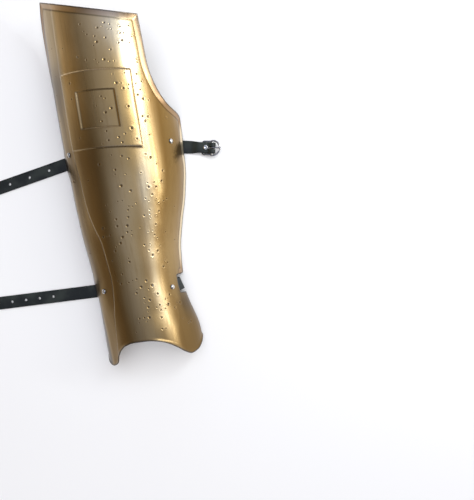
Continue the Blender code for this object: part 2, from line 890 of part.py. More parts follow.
FOLD_RADIUS = WIRE_RADIUS + FIT_GAP + STRAP_THICK / 2
EYE_RADIUS = WIRE_RADIUS + FIT_GAP + PRONG_RADIUS
SPREAD_BAR_HEIGHT = BURR_THICK + 2 * FIT_GAP + STRAP_THICK + WIRE_RADIUS
FRAME_TILT = math.asin((SPREAD_BAR_HEIGHT - WIRE_RADIUS) / RAIL_BACK)
TUCKED_BAR_HEIGHT = PRONG_REACH * math.sin(FRAME_TILT) + EYE_RADIUS * math.cos(FRAME_TILT) + PRONG_RADIUS
CHAPE_WIDTH = 2 * (RAIL_HALF_WIDTH - WIRE_RADIUS - SIDE_GAP)
LAY_END = RAIL_BACK + 2.2 * WIRE_RADIUS
LAY_START = LAY_END + LAY_LENGTH


def chape_stops(start_height):
    """The strap's middle near the bar as (a, b): up to the bar, round it and back under itself."""
    line = []
    for a in np.linspace(-LAY_START, -LAY_END, 6):
        share = float(smooth((a + LAY_START) / (LAY_START - LAY_END)))
        line.append((a, start_height * (1 - share)))
    line.append((-CHAPE_RIVET_BACK, 0.0))
    rise_from = -CHAPE_RIVET_BACK + CHAPE_DOME_RADIUS
    for a in np.linspace(rise_from, -FOLD_START, 5):
        line.append((a, FOLD_RADIUS * float(smooth((a - rise_from) / (-FOLD_START - rise_from)))))
    for angle in np.linspace(90.0, -90.0, 9)[1:]:
        line.append((FOLD_RADIUS * math.cos(math.radians(angle)), FOLD_RADIUS * math.sin(math.radians(angle))))
    line.append((-CHAPE_RIVET_BACK, -FOLD_RADIUS))
    line.append((-CHAPE_END_BACK, -FOLD_RADIUS))
    return line


def buckle_frame_mesh(name):
    """Round half past the bar and squared half behind it, in the plane of a and the bar."""
    loop = []
    for angle in np.linspace(-90.0, 90.0, 15):
        loop.append((RING_RADIUS * math.cos(math.radians(angle)), RING_RADIUS * math.sin(math.radians(angle)), 0.0))
    loop.append((-RAIL_START, RAIL_HALF_WIDTH, 0.0))
    for side, angles in ((1, (100.0, 135.0, 170.0)), (-1, (190.0, 225.0, 260.0))):
        for angle in angles:
            loop.append((RAIL_CORNER - RAIL_BACK + RAIL_CORNER * math.cos(math.radians(angle)),
                         side * (RAIL_HALF_WIDTH - RAIL_CORNER) + RAIL_CORNER * math.sin(math.radians(angle)),
                         0.0))
    loop.append((-RAIL_START, -RAIL_HALF_WIDTH, 0.0))
    rings = tube_rings(loop, [WIRE_RADIUS] * len(loop), 8, (0.0, 0.0, 1.0), closed=True)
    return sweep(name, rings, closed=True)


def make_buckle(name, bar, e_a, e_b, root):
    """Frame and prong on one axis empty at the bar."""
    e_w = np.cross(e_b, e_a)
    axis = bpy.data.objects.new(name + "_axis", None)
    bpy.context.scene.collection.objects.link(axis)
    axis.parent = root
    tilt = Matrix.Rotation(-FRAME_TILT, 4, "Y")
    axis.matrix_local = basis(bar, e_a, e_w, e_b) @ tilt
    frame = add_object(name + "_frame", buckle_frame_mesh(name + "_frame"), NICKEL, axis)
    reach = RING_RADIUS - WIRE_RADIUS / 2
    rod = tube_rings([(0.0, -reach, 0.0), (0.0, reach, 0.0)], [WIRE_RADIUS] * 2, 8, (0.0, 0.0, 1.0))
    tool = cutter(name + "_bar", [(sweep(name + "_bar", rod), Matrix.Identity(4))], axis)
    cut(frame, tool, "UNION")
    path = []
    for angle in np.linspace(-10.0, -270.0, 14):
        turn = math.radians(angle)
        path.append((EYE_RADIUS * math.cos(turn), 0.0, EYE_RADIUS * math.sin(turn)))
    for reach in list(np.linspace(0.0, PRONG_REACH - PRONG_POINT, 4)[1:]) + [PRONG_REACH]:
        path.append((reach, 0.0, EYE_RADIUS))
    radii = [PRONG_RADIUS] * (len(path) - 1) + [PRONG_TIP]
    prong = sweep(name + "_prong", tube_rings(path, radii, 8, (0.0, 1.0, 0.0)))
    for mesh in (frame.data, prong):
        mesh.shade_smooth()
        mesh.set_sharp_from_angle(angle=math.radians(50.0))
    add_object(name + "_prong", prong, NICKEL, axis)


def chape_rivet_mesh(name):
    top = STRAP_THICK / 2 + FIT_GAP
    low = -FOLD_RADIUS - STRAP_THICK / 2 - FIT_GAP
    profile = dome_profile(CHAPE_DOME_RADIUS, CHAPE_DOME_HEIGHT, top)
    profile += [(SHANK_RADIUS, top), (SHANK_RADIUS, low), (BURR_RADIUS, low),
                (BURR_RADIUS, low - BURR_THICK), (0.0, low - BURR_THICK)]
    return turned(name, profile, 12)


def dome_profile(radius, height, base):
    """A low dome from its crown out to its rim."""
    fall = height * DOME_FALL
    profile = [(0.0, base + height)]
    for share in (0.45, 0.8, 1.0):
        profile.append((radius * share, base + height - fall * share ** 2))
    profile.append((radius, base))
    return profile


def make_buckle_strap(name, stops, bar, e_a, e_b, start_height, root):
    """Finish a strap that ends folded round its buckle's bar, with its rivet."""
    first = len(stops)
    for a, b in chape_stops(start_height):
        stops.append((bar + e_a * a + e_b * b, None))
    points = [stop[0] for stop in stops]
    e_w = np.cross(e_b, e_a)
    for i in range(first, len(stops)):
        ahead = points[min(i + 1, len(points) - 1)] - points[i - 1]
        stops[i] = (points[i], unit(np.cross(ahead, e_w)))
    widths = [STRAP_WIDTH] * first
    for a, _ in chape_stops(start_height):
        share = float(smooth((a + LAY_START) / (LAY_START - LAY_END)))
        widths.append(STRAP_WIDTH + (CHAPE_WIDTH - STRAP_WIDTH) * share)
    thing = add_object(name + "_strap", sweep(name + "_strap", strap_rings(stops, widths)), LEATHER, root)
    frame = basis(bar, e_a, e_w, e_b)
    slot_half = PRONG_RADIUS + SIDE_GAP
    reach = FOLD_RADIUS + STRAP_THICK
    slot = box_mesh((-SLOT_BACK, -slot_half, -reach), (reach, slot_half, reach))
    hole = drill(SHANK_RADIUS + FIT_GAP)
    hole_place = frame @ Matrix.Translation((-CHAPE_RIVET_BACK, 0.0, -FOLD_RADIUS / 2))
    cut(thing, cutter(name + "_cuts", [rivet_cut(name), (slot, frame), (hole, hole_place)], root))
    label = name.replace("buckle", "chape") + "_rivet"
    rivet = add_object(label, chape_rivet_mesh(label), NICKEL, root)
    rivet.matrix_local = frame @ Matrix.Translation((-CHAPE_RIVET_BACK, 0.0, 0.0))
    make_buckle(name, bar, e_a, e_b, root)


def make_spread_buckle(name, root):
    """The calf's buckle strap lies spread out beside the plate, face up."""
    heading = plan_heading(name)
    stops = wall_stops(name, STRAP_THICK / 2 + STRAP_BEND)
    travel = unit(stops[-1][0] - stops[-2][0])
    fall = -math.atan2(travel[2], float(travel @ heading))
    drop = stops[-1][0][2] - STRAP_THICK / 2
    stops = bend(name, stops, 0.0, drop / (1 - math.cos(fall)), 4)
    bar = plane_point(name, stops[-1][0], BUCKLE_FREE, SPREAD_BAR_HEIGHT)
    start_height = STRAP_THICK / 2 - SPREAD_BAR_HEIGHT
    make_buckle_strap(name, stops, bar, heading, UP, start_height, root)


def make_tucked_buckle(name, root):
    """The ankle's buckle strap comes out of the notch and curls back under the plate, face down."""
    heading = plan_heading(name)
    stops = wall_stops(name, NOTCH_HEIGHT + PLATE)
    travel = unit(stops[-1][0] - stops[-2][0])
    fall = math.atan2(travel[2], float(travel @ heading))
    leave = STRAP_THICK / 2 + CURL_RADIUS * (1 + math.cos(fall))
    run = (stops[-1][0][2] - leave) / -travel[2]
    last, normal = stops[-1]
    for share in (0.5, 1.0):
        blended = unit((1 - share) * normal + share * plane_normal(name, fall))
        stops.append((last + (heading * math.cos(fall) + UP * math.sin(fall)) * run * share, blended))
    stops = bend(name, stops, -math.pi, CURL_RADIUS, 8)
    bar = plane_point(name, stops[-1][0], -TUCKED_FREE, TUCKED_BAR_HEIGHT)
    start_height = TUCKED_BAR_HEIGHT - STRAP_THICK / 2
    make_buckle_strap(name, stops, bar, -heading, -UP, start_height, root)


def make_strap_rivet(name, root):
    low = -PLATE - WALL_GAP - STRAP_THICK - FIT_GAP
    profile = dome_profile(DOME_RADIUS, DOME_HEIGHT, FIT_GAP)
    profile += [(SHANK_RADIUS, FIT_GAP), (SHANK_RADIUS, low), (BURR_RADIUS, low),
                (BURR_RADIUS, low - BURR_THICK), (0.0, low - BURR_THICK)]
    s, y = strap_seat(name)
    rivet = add_object(name + "_rivet", turned(name + "_rivet", profile, 12), NICKEL, root)
    rivet.matrix_local = facing(surface(s, y), sheet_normal(s, y), (0.0, 1.0, 0.0))


def centre_on_floor(root):
    """Move the whole part so that its box stands centred on the origin."""
    bpy.context.view_layer.update()
    low = Vector((math.inf,) * 3)
    high = Vector((-math.inf,) * 3)
    for thing in bpy.data.objects:
        if thing.type != "MESH" or thing.hide_render:
            continue
        for vertex in thing.data.vertices:
            place = thing.matrix_world @ vertex.co
            low = Vector(map(min, low, place))
            high = Vector(map(max, high, place))
    root.location = (-(low.x + high.x) / 2, -(low.y + high.y) / 2, -low.z)


def main():
    clear_scene()
    root = bpy.data.objects.new("greave", None)
    bpy.context.scene.collection.objects.link(root)
    make_plate(root)
    make_tongue_strap("calf_tongue", CALF_TONGUE_FREE, CALF_HOLES, root)
    make_tongue_strap("ankle_tongue", ANKLE_TONGUE_FREE, ANKLE_HOLES, root)
    make_spread_buckle("calf_buckle", root)
    make_tucked_buckle("ankle_buckle", root)
    for name in STRAPS:
        make_strap_rivet(name, root)
    centre_on_floor(root)


main()
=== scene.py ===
"""The greave's looks: its formed sheet with pits and turned lips, and its straps, rivets and buckles.

The CAD model is the frame.  The plate, straps and fittings are rebuilt here more finely in the same places,
from the same flat pattern: s is the distance round the arch from its top, y the distance along the shin
from the instep end.  Lengths are in metres.
"""
import math

import bmesh
import bpy
import numpy as np
from mathutils import Matrix, Vector
from mathutils.geometry import delaunay_2d_cdt

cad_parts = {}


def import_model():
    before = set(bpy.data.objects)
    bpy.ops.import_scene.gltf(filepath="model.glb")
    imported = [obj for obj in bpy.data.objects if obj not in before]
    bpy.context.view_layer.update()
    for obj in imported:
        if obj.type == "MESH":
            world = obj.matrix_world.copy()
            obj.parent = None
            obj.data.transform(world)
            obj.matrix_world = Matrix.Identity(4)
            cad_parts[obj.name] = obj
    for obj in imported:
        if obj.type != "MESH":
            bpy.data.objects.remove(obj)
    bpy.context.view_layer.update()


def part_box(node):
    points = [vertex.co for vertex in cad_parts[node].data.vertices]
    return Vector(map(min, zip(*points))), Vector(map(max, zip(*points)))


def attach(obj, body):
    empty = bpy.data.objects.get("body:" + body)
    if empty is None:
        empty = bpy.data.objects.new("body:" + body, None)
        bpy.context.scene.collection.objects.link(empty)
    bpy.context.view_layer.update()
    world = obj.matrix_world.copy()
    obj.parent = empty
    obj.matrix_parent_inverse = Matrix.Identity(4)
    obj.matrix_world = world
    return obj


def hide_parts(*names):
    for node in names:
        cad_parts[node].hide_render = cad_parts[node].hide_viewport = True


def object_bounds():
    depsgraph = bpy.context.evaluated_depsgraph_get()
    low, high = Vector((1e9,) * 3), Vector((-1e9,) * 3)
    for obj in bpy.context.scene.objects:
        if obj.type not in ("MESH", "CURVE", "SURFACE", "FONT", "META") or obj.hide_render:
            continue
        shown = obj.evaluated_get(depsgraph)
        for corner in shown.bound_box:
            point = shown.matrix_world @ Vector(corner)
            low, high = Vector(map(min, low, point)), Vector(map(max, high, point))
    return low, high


# shin plate, as in the CAD model
LENGTH = 0.420
CALF_HALF_WIDTH = 0.071
CALF_CREST = 0.066
SHIN_SWAY = 0.0129
PLATE = 0.0012
KNEE_SLANT = math.radians(16.9)
KNEE_RAKE = math.radians(23.0)
INSTEP_RISE = 0.0255
LIP_WIDTH = 0.006
LIP_TURN = 0.002
INSTEP_LIP_WIDTH = 0.003
INSTEP_LIP_TURN = 0.001
LOBE_FLARE = 0.0042
LOBE_TOP = 0.19
LOBE_RAMP = 0.14
LOBE_TURN = math.radians(50.0)
LOBE_SPREAD = math.radians(38.0)
PANEL_WIDTH = 0.083
PANEL_HEIGHT = 0.0860
PANEL_SHIFT = -0.0105
PANEL_ALONG = 0.669
PANEL_SLANT = math.radians(7.0)
PANEL_RAISE = 0.0015
PANEL_BEVEL = 0.0016
SQUARE_WIDTH = 0.0435
SQUARE_HEIGHT = 0.0420
SQUARE_SINK = 0.0015
CREASE_DROP = 0.0020
CREASE_STEP = 0.0030
CREASE_FADE = 0.0260
NOTCH_ALONG = 0.189
NOTCH_LENGTH = 0.0200
NOTCH_HEIGHT = 0.0200
NOTCH_RAMP = 0.0020

# straps, rivets and buckles, as in the CAD model
STRAP_WIDTH = 0.0150
STRAP_THICK = 0.0022
STRAP_BEND = 0.0030
STRAP_TOP = 0.0090
CURL_RADIUS = 0.0062
FIT_GAP = 0.0003
WALL_GAP = 0.00045
HOLE_RADIUS = 0.0016
CALF_TONGUE_FREE = 0.165
ANKLE_TONGUE_FREE = 0.155
BUCKLE_FREE = 0.036
TUCKED_FREE = 0.040
TIP_LENGTH = 0.012
TIP_TURN = 1.35
CALF_HOLES = {"count": 5, "first": 0.0235, "pitch": 0.0246}
ANKLE_HOLES = {"count": 6, "first": 0.0535, "pitch": 0.0164}
LIFT_REACH = 0.016
DOME_RADIUS = 0.00275
DOME_HEIGHT = 0.0017
SHANK_RADIUS = 0.0012
BURR_RADIUS = 0.0022
BURR_THICK = 0.0005
CHAPE_DOME_RADIUS = 0.0030
CHAPE_DOME_HEIGHT = 0.0013
WIRE_RADIUS = 0.0011
RING_RADIUS = 0.0089
RAIL_HALF_WIDTH = 0.0080
RAIL_BACK = 0.0126
RAIL_CORNER = 0.0022
RAIL_START = 0.0030
CHAPE_RIVET_BACK = 0.0080
CHAPE_END_BACK = 0.0106
PRONG_RADIUS = 0.0009
PRONG_REACH = 0.0118
PRONG_POINT = 0.0012
PRONG_TIP = 0.00040
SIDE_GAP = 0.0006
SLOT_BACK = 0.0049
FOLD_START = 0.0008
LAY_LENGTH = 0.0110

# pits punched in the sheet
PIT_COUNT = 205
PIT_RADIUS = (0.0010, 0.0021)
PIT_DEPTH = (0.00045, 0.00095)
PIT_BAND = (0.020, 0.017)
PIT_RINGS = ((0.42, 6), (0.74, 9), (1.02, 10), (1.40, 10))

# slow unevenness of hand-formed sheet
WAVES = 6
WAVE_HEIGHT = 0.00005

# mesh fineness of the plate
GRID = 0.00175
EDGE_STEP = 0.0016
LIP_ROWS = (0.0007, 0.0014, 0.0024, 0.0036, 0.0048, 0.0057, 0.0063, 0.0070, 0.0082)
BEVEL_ROWS = (-0.4, 0.0, 0.25, 0.5, 0.75, 1.0, 1.4)
CREASE_ROWS = (-0.4, 0.0, 0.25, 0.5, 0.75, 1.0, 1.4)
RIM_ROUND = 0.0004
# width of the dark rim band on the face: the steel edge's tone carried inward as a painted shadow outline
RIM_SHADOW_BAND = 0.0020
WALL_STEP = 0.0016
MERGE = 0.000003
LEATHER_SHARP = 32.0
METAL_SHARP = 38.0

# camera: straight down over the middle of the photographed spread
PHOTO_TURN = math.radians(10.0)
PHOTO_HEIGHT = 0.595
CAMERA_HEIGHT = 0.65
CAMERA_FROM_PLATE = (0.1824, 0.1053)

# along the shin: sway of the crest line, half width and crest height, as shares
SECTIONS = (
    # along, sway, half width, crest
    (0.00, 0.50, 0.735, 0.880),
    (0.07, 0.41, 0.728, 0.850),
    (0.14, 0.155, 0.714, 0.803),
    (0.20, 0.00, 0.708, 0.792),
    (0.28, 0.01, 0.742, 0.832),
    (0.36, 0.18, 0.820, 0.885),
    (0.44, 0.48, 0.900, 0.936),
    (0.52, 0.67, 0.946, 0.970),
    (0.62, 0.70, 0.975, 0.990),
    (0.74, 0.76, 0.986, 1.000),
    (0.88, 0.92, 1.000, 1.000),
    (1.00, 1.00, 1.000, 1.000),
)

# height of each rim over the floor, as a share of the crest there
CREASE_RIM = (
    # along, height
    (0.00, 0.060),
    (0.05, 0.008),
    (0.09, 0.000),
    (0.20, 0.012),
    (0.40, 0.012),
    (0.60, 0.010),
    (0.70, 0.000),
    (0.76, 0.020),
    (0.83, 0.080),
    (0.905, 0.190),
    (0.957, 0.326),
    (1.00, 0.470),
    (1.05, 0.560),
)
BUCKLE_RIM = (
    # along, height
    (0.00, 0.060),
    (0.05, 0.010),
    (0.09, 0.000),
    (0.20, 0.010),
    (0.40, 0.008),
    (0.60, 0.008),
    (0.648, 0.010),
)
CUTAWAY = (
    # along, height
    (0.648, 0.010),
    (0.652, 0.110),
    (0.660, 0.340),
    (0.672, 0.495),
    (0.688, 0.585),
    (0.706, 0.645),
    (0.750, 0.722),
    (0.783, 0.747),
    (0.825, 0.761),
    (0.900, 0.780),
    (1.000, 0.800),
)

# instep edge: rise over the lobes, across the arch from crease side to buckle side
INSTEP_EDGE = (
    # across, rise
    (-1.00, 0.50),
    (-0.85, 0.18),
    (-0.70, 0.02),
    (-0.58, 0.12),
    (-0.49, 0.43),
    (-0.41, 0.70),
    (-0.30, 0.91),
    (-0.16, 1.00),
    (0.00, 0.985),
    (0.14, 0.91),
    (0.28, 0.72),
    (0.40, 0.46),
    (0.52, 0.16),
    (0.63, 0.01),
    (0.75, 0.07),
    (0.87, 0.28),
    (1.00, 0.60),
)

# crease line: side offset as a share of the calf's half width, drop as a share of CREASE_DROP
CREASE = (
    # along, offset, drop
    (0.00, -0.640, 0.6),
    (0.081, -0.530, 1.0),
    (0.136, -0.431, 1.0),
    (0.183, -0.344, 1.0),
    (0.231, -0.315, 1.0),
    (0.274, -0.334, 1.0),
    (0.326, -0.376, 1.0),
    (0.377, -0.503, 1.0),
    (0.427, -0.613, 1.0),
    (0.502, -0.690, 0.8),
    (0.577, -0.732, 0.4),
    (0.780, -0.732, 0.3),
    (1.000, -0.700, 0.2),
)

# where each strap is riveted (along, degrees round the arch) and its heading on the floor
STRAPS = {
    "calf_tongue": {"along": 0.579, "turn": -55.1, "heading": 189.4},
    "ankle_tongue": {"along": 0.204, "turn": -45.0, "heading": 177.2},
    "calf_buckle": {"along": 0.571, "turn": 59.5, "heading": -13.4},
    "ankle_buckle": {"along": 0.184, "turn": 53.7, "heading": 15.0},
}

# painted highlight: a lighter band where the key light's reflection runs; its middle in degrees round the
# arch, its breadth in degrees and its strength
PAINTED_HIGHLIGHT_BAND = (
    # along, middle, breadth, strength
    (0.00, 28.0, 9.0, 0.00),
    (0.08, 29.5, 7.0, 0.05),
    (0.20, 29.5, 6.0, 0.45),
    (0.37, 29.0, 6.0, 0.65),
    (0.457, 25.0, 6.5, 0.80),
    (0.555, 26.5, 6.0, 0.35),
    (0.67, 31.5, 6.0, 0.30),
    (0.74, 28.0, 8.0, 0.45),
    (0.81, 23.0, 10.0, 0.70),
    (0.90, 18.0, 13.0, 0.90),
    (1.00, 18.0, 13.0, 0.90),
)

# the room's tones by the across and along parts of the direction looked in; the two are multiplied
ROOM_ACROSS = (
    (-1.00, (0.36, 0.285, 0.20)),
    (1.00, (0.75, 0.58, 0.33)),
    (-0.88, (0.33, 0.255, 0.155)),
    (-0.70, (0.15, 0.13, 0.11)),
    (-0.52, (0.24, 0.26, 0.33)),
    (-0.25, (0.44, 0.50, 0.74)),
    (0.26, (0.64, 0.73, 1.00)),
    (0.55, (0.42, 0.43, 0.48)),
    (0.85, (0.52, 0.42, 0.26)),
)
ROOM_ALONG = (
    (-1.00, (0.25, 0.23, 0.22)),
    (1.00, (1.00, 0.98, 0.95)),
    (-0.72, (0.30, 0.27, 0.25)),
    (-0.40, (0.85, 0.85, 0.85)),
    (0.00, (1.00, 1.00, 1.00)),
    (0.50, (0.85, 0.83, 0.80)),
    (0.72, (0.42, 0.36, 0.33)),
    (0.84, (1.00, 0.96, 0.90)),
)

# key lights: degrees from overhead to the buckle side, place along, distance, run, size and power
KEYS = (
    ("key_box", 43.0, 0.35, 0.85, (-0.20, 1.0, 0.25), (0.32, 0.28), 2.8),
    ("key_strip", 63.0, 0.02, 0.85, (-0.26, 1.0, 0.54), (0.045, 0.44), 1.60),
)

KEY_TINT = (0.90, 0.95, 1.0)
FILL_ENERGY = 1.85
FILL_ANGLE = math.radians(75.0)
FILL_TINT = (1.0, 0.97, 0.92)
BACKDROP = (0.90, 0.90, 0.89)
FLOOR_TONE = (0.86, 0.86, 0.85)
FLOOR_HALF = 6.0
SENSOR = 36.0
LIGHT_HEIGHT = 0.04

UP = np.array([0.0, 0.0, 1.0])


def smooth(x):
    x = np.clip(x, 0.0, 1.0)
    return x * x * (3.0 - 2.0 * x)


def curve(table, column, at):
    """Read a column of a table at a share, on a smooth curve through its rows."""
    rows = np.array([row[:1] + row[column:column + 1] for row in table])
    x = rows[:, 0]
    v = rows[:, 1]
    chords = np.diff(v) / np.diff(x)
    slopes = np.zeros(len(x))
    slopes[1:-1] = np.where(chords[:-1] * chords[1:] > 0.0,
                            2.0 * chords[:-1] * chords[1:] / (chords[:-1] + chords[1:] + 1e-12), 0.0)
    slopes[0] = chords[0]
    slopes[-1] = chords[-1]
    at = np.clip(at, x[0], x[-1])
    cell = np.clip(np.searchsorted(x, at, side="right") - 1, 0, len(x) - 2)
    width = x[cell + 1] - x[cell]
    t = (at - x[cell]) / width
    return ((2 * t ** 3 - 3 * t ** 2 + 1) * v[cell] + (t ** 3 - 2 * t ** 2 + t) * width * slopes[cell]
            + (3 * t ** 2 - 2 * t ** 3) * v[cell + 1] + (t ** 3 - t ** 2) * width * slopes[cell + 1])


def unit(v):
    return np.array(v, dtype=float) / np.linalg.norm(v)


# the arch and its edges

def section(y):
    """Centre line, half width and crest height of the arch at y."""
    along = np.asarray(y, dtype=float) / LENGTH
    centre = SHIN_SWAY * curve(SECTIONS, 1, along)
    half = CALF_HALF_WIDTH * curve(SECTIONS, 2, along)
    crest = CALF_CREST * curve(SECTIONS, 3, along)
    return centre, half, crest


def girth(y):
    """Mean radius of the arch at y, which turns an angle into a distance round it."""
    _, half, crest = section(y)
    return 0.5 * (half + crest)


def arch(s, y):
    centre, half, crest = section(y)
    angle = s / (0.5 * (half + crest))
    return np.stack([centre + half * np.sin(angle), y + 0.0 * s, crest * np.cos(angle)], axis=-1)


def arch_normal(s, y):
    step = 0.0004
    round_it = arch(s + step, y) - arch(s - step, y)
    along_it = arch(s, y + step) - arch(s, y - step)
    normal = np.cross(round_it, along_it)
    return normal / np.linalg.norm(normal, axis=-1, keepdims=True)


def strap_seat(name):
    """Flat-pattern place of a strap's rivet."""
    spec = STRAPS[name]
    y = spec["along"] * LENGTH
    return math.radians(spec["turn"]) * float(girth(y)), y


def rim_crossing(name):
    """Where a strap's line on the floor passes under the rim, as y."""
    spec = STRAPS[name]
    s, y = strap_seat(name)
    start = arch(np.array(s), np.array(y))
    centre, half, _ = section(y)
    reach = abs(centre + math.copysign(half, s) - start[0])
    return y + reach * math.tan(math.radians(spec["heading"])) * math.copysign(1.0, s)


STRAP_LIFT = STRAP_THICK / 2 + STRAP_BEND + FIT_GAP


def lifted(height, y, names):
    """Raise a rim over the straps that pass under it."""
    for name in names:
        near = 1.0 - smooth((np.abs(y - rim_crossing(name)) - STRAP_WIDTH / 2) / LIFT_REACH)
        height = np.maximum(height, STRAP_LIFT * near)
    return height


def rim_turn(y, side):
    """Angle round the arch at which the rim runs, from its height over the floor."""
    y = np.asarray(y, dtype=float)
    along = y / LENGTH
    _, _, crest = section(y)
    if side < 0:
        height = lifted(crest * curve(CREASE_RIM, 1, along), y, ("calf_tongue", "ankle_tongue"))
    else:
        low = lifted(crest * curve(BUCKLE_RIM, 1, along), y, ("calf_buckle",))
        inside = NOTCH_LENGTH / 2 - np.abs(y - NOTCH_ALONG * LENGTH)
        low = np.maximum(low, NOTCH_HEIGHT * smooth(inside / NOTCH_RAMP + 1.0))
        height = np.where(along > CUTAWAY[0][0], crest * curve(CUTAWAY, 1, along), low)
    return side * np.arccos(np.clip(height / crest, 0.0, 1.0))


def knee_reach():
    """Where the knee's cutting plane meets the y axis, so that the crease-side corner ends at LENGTH."""
    turn = rim_turn(LENGTH, -1)
    corner = arch(turn * girth(LENGTH), np.array(LENGTH))
    return LENGTH + math.tan(KNEE_SLANT) * corner[0] + math.tan(KNEE_RAKE) * corner[2]


def knee_y(turn):
    """The knee edge is a plane cut: it slants across the shin and rakes back over the crest."""
    turn = np.asarray(turn, dtype=float)
    y = np.full_like(turn, LENGTH)
    for _ in range(12):
        point = arch(turn * girth(y), y)
        y = knee_reach() - math.tan(KNEE_SLANT) * point[..., 0] - math.tan(KNEE_RAKE) * point[..., 2]
    return y


def instep_y(turn):
    return INSTEP_RISE * curve(INSTEP_EDGE, 1, np.asarray(turn) / (math.pi / 2))


def corner_y(side, edge_y, guess):
    """Where a rim meets the knee edge or the instep edge."""
    y = guess
    for _ in range(25):
        y = float(edge_y(rim_turn(y, side)))
    return y


def stations(start, end, step):
    return np.linspace(start, end, max(2, int(round(abs(end - start) / step)) + 1))


def rim_line(side, step):
    """One side rim as flat-pattern points, from the instep up to the knee."""
    start = corner_y(side, instep_y, 0.0)
    end = corner_y(side, knee_y, LENGTH)
    y = stations(start, end, step)
    if side > 0:
        corners = np.array([CUTAWAY[0][0] * LENGTH, NOTCH_ALONG * LENGTH])
        spans = np.array([CUTAWAY[3][0] * LENGTH - corners[0], NOTCH_LENGTH / 2 + NOTCH_RAMP])
        dense = [np.linspace(corners[0], corners[0] + spans[0], 22)]
        for turn in (-1, 1):
            edge = corners[1] + turn * NOTCH_LENGTH / 2
            dense.append(np.linspace(edge, edge + turn * NOTCH_RAMP, 14))
        for run in dense:
            low, high = run.min(), run.max()
            y = y[(y < low - step * 0.4) | (y > high + step * 0.4)]
            y = np.sort(np.concatenate([y, run]))
    return np.stack([rim_turn(y, side) * girth(y), y], axis=-1)


def end_line(edge_y, guess, step):
    """The knee or instep edge, from the crease side to the buckle side."""
    first = float(rim_turn(corner_y(-1, edge_y, guess), -1))
    last = float(rim_turn(corner_y(1, edge_y, guess), 1))
    turn = stations(first, last, step / CALF_HALF_WIDTH)
    y = edge_y(turn)
    return np.stack([turn * girth(y), y], axis=-1)


def distance_to(line, points, block=1500):
    """Least distance from each point to a polyline."""
    a = line[:-1][None, :, :]
    run = line[1:][None, :, :] - a
    length = (run * run).sum(-1)
    found = []
    for first in range(0, len(points), block):
        p = points[first:first + block][:, None, :]
        t = np.clip(((p - a) * run).sum(-1) / length, 0.0, 1.0)
        found.append(np.sqrt((((a + t[..., None] * run) - p) ** 2).sum(-1)).min(axis=1))
    return np.concatenate(found)


def inside_loop(loop, points):
    x, y = points[:, 0], points[:, 1]
    inside = np.zeros(len(points), dtype=bool)
    for (ax, ay), (bx, by) in zip(loop, np.roll(loop, -1, axis=0)):
        crosses = (ay > y) != (by > y)
        at = ax + (y - ay) * (bx - ax) / (by - ay if by != ay else 1e-12)
        inside ^= crosses & (x < at)
    return inside


# relief: how far the sheet stands off the plain arch

def panel_place(s, y):
    """Place within the raised panel, whose top and bottom edges slant."""
    across = s - PANEL_SHIFT
    along = y - PANEL_ALONG * LENGTH + math.tan(PANEL_SLANT) * across
    return across, along


def panel_edges(s, y):
    """How far inside the panel's and the square's edges each point lies."""
    across, along = panel_place(s, y)
    outer = np.minimum(PANEL_WIDTH / 2 - np.abs(across), PANEL_HEIGHT / 2 - np.abs(along))
    inner = np.minimum(SQUARE_WIDTH / 2 - np.abs(across), SQUARE_HEIGHT / 2 - np.abs(along))
    return outer, inner


def crease_line(y):
    return CALF_HALF_WIDTH * curve(CREASE, 1, y / LENGTH)


def make_waves():
    """Directions, lengths and phases of the sheet's slow unevenness."""
    draw = np.random.default_rng(5)
    waves = []
    for _ in range(WAVES):
        heading = draw.uniform(0.0, math.pi)
        number = 2 * math.pi / draw.uniform(0.035, 0.080)
        phase = draw.uniform(0.0, 2 * math.pi)
        waves.append((number * math.cos(heading), number * math.sin(heading), phase))
    return waves


def form(s, y):
    """Relief of the formed sheet without its lips and pits."""
    outer, inner = panel_edges(s, y)
    height = PANEL_RAISE * smooth(outer / PANEL_BEVEL) - SQUARE_SINK * smooth(inner / PANEL_BEVEL)
    beyond = crease_line(y) - s
    drop = CREASE_DROP * curve(CREASE, 2, y / LENGTH)
    height -= drop * smooth(beyond / CREASE_STEP) * (1.0 - smooth((beyond - CREASE_STEP) / CREASE_FADE))
    turn = np.abs(s) / girth(y)
    low = smooth((turn - LOBE_TURN) / LOBE_SPREAD)
    return height + LOBE_FLARE * low * smooth((LOBE_TOP - y / LENGTH) / LOBE_RAMP)


def surface(s, y, depth=0.0):
    """A point of the formed sheet without its lips, a given depth under its outer face."""
    s = np.asarray(s, dtype=float)
    y = np.asarray(y, dtype=float)
    return arch(s, y) + arch_normal(s, y) * (form(s, y) - depth)[..., None]


def sheet_normal(s, y):
    step = 0.0008
    round_it = surface(s + step, y) - surface(s - step, y)
    along_it = surface(s, y + step) - surface(s, y - step)
    return unit(np.cross(round_it, along_it))


def lip_height(gap, width, turn):
    """Rise of a turned-out lip at a distance from the rim, with a fine groove at its root."""
    near = np.clip(1.0 - gap / width, 0.0, 1.0)
    groove = np.exp(-((gap - width - 0.0003) / 0.0007) ** 2)
    return turn * near ** 1.45 - 0.08 * turn * groove


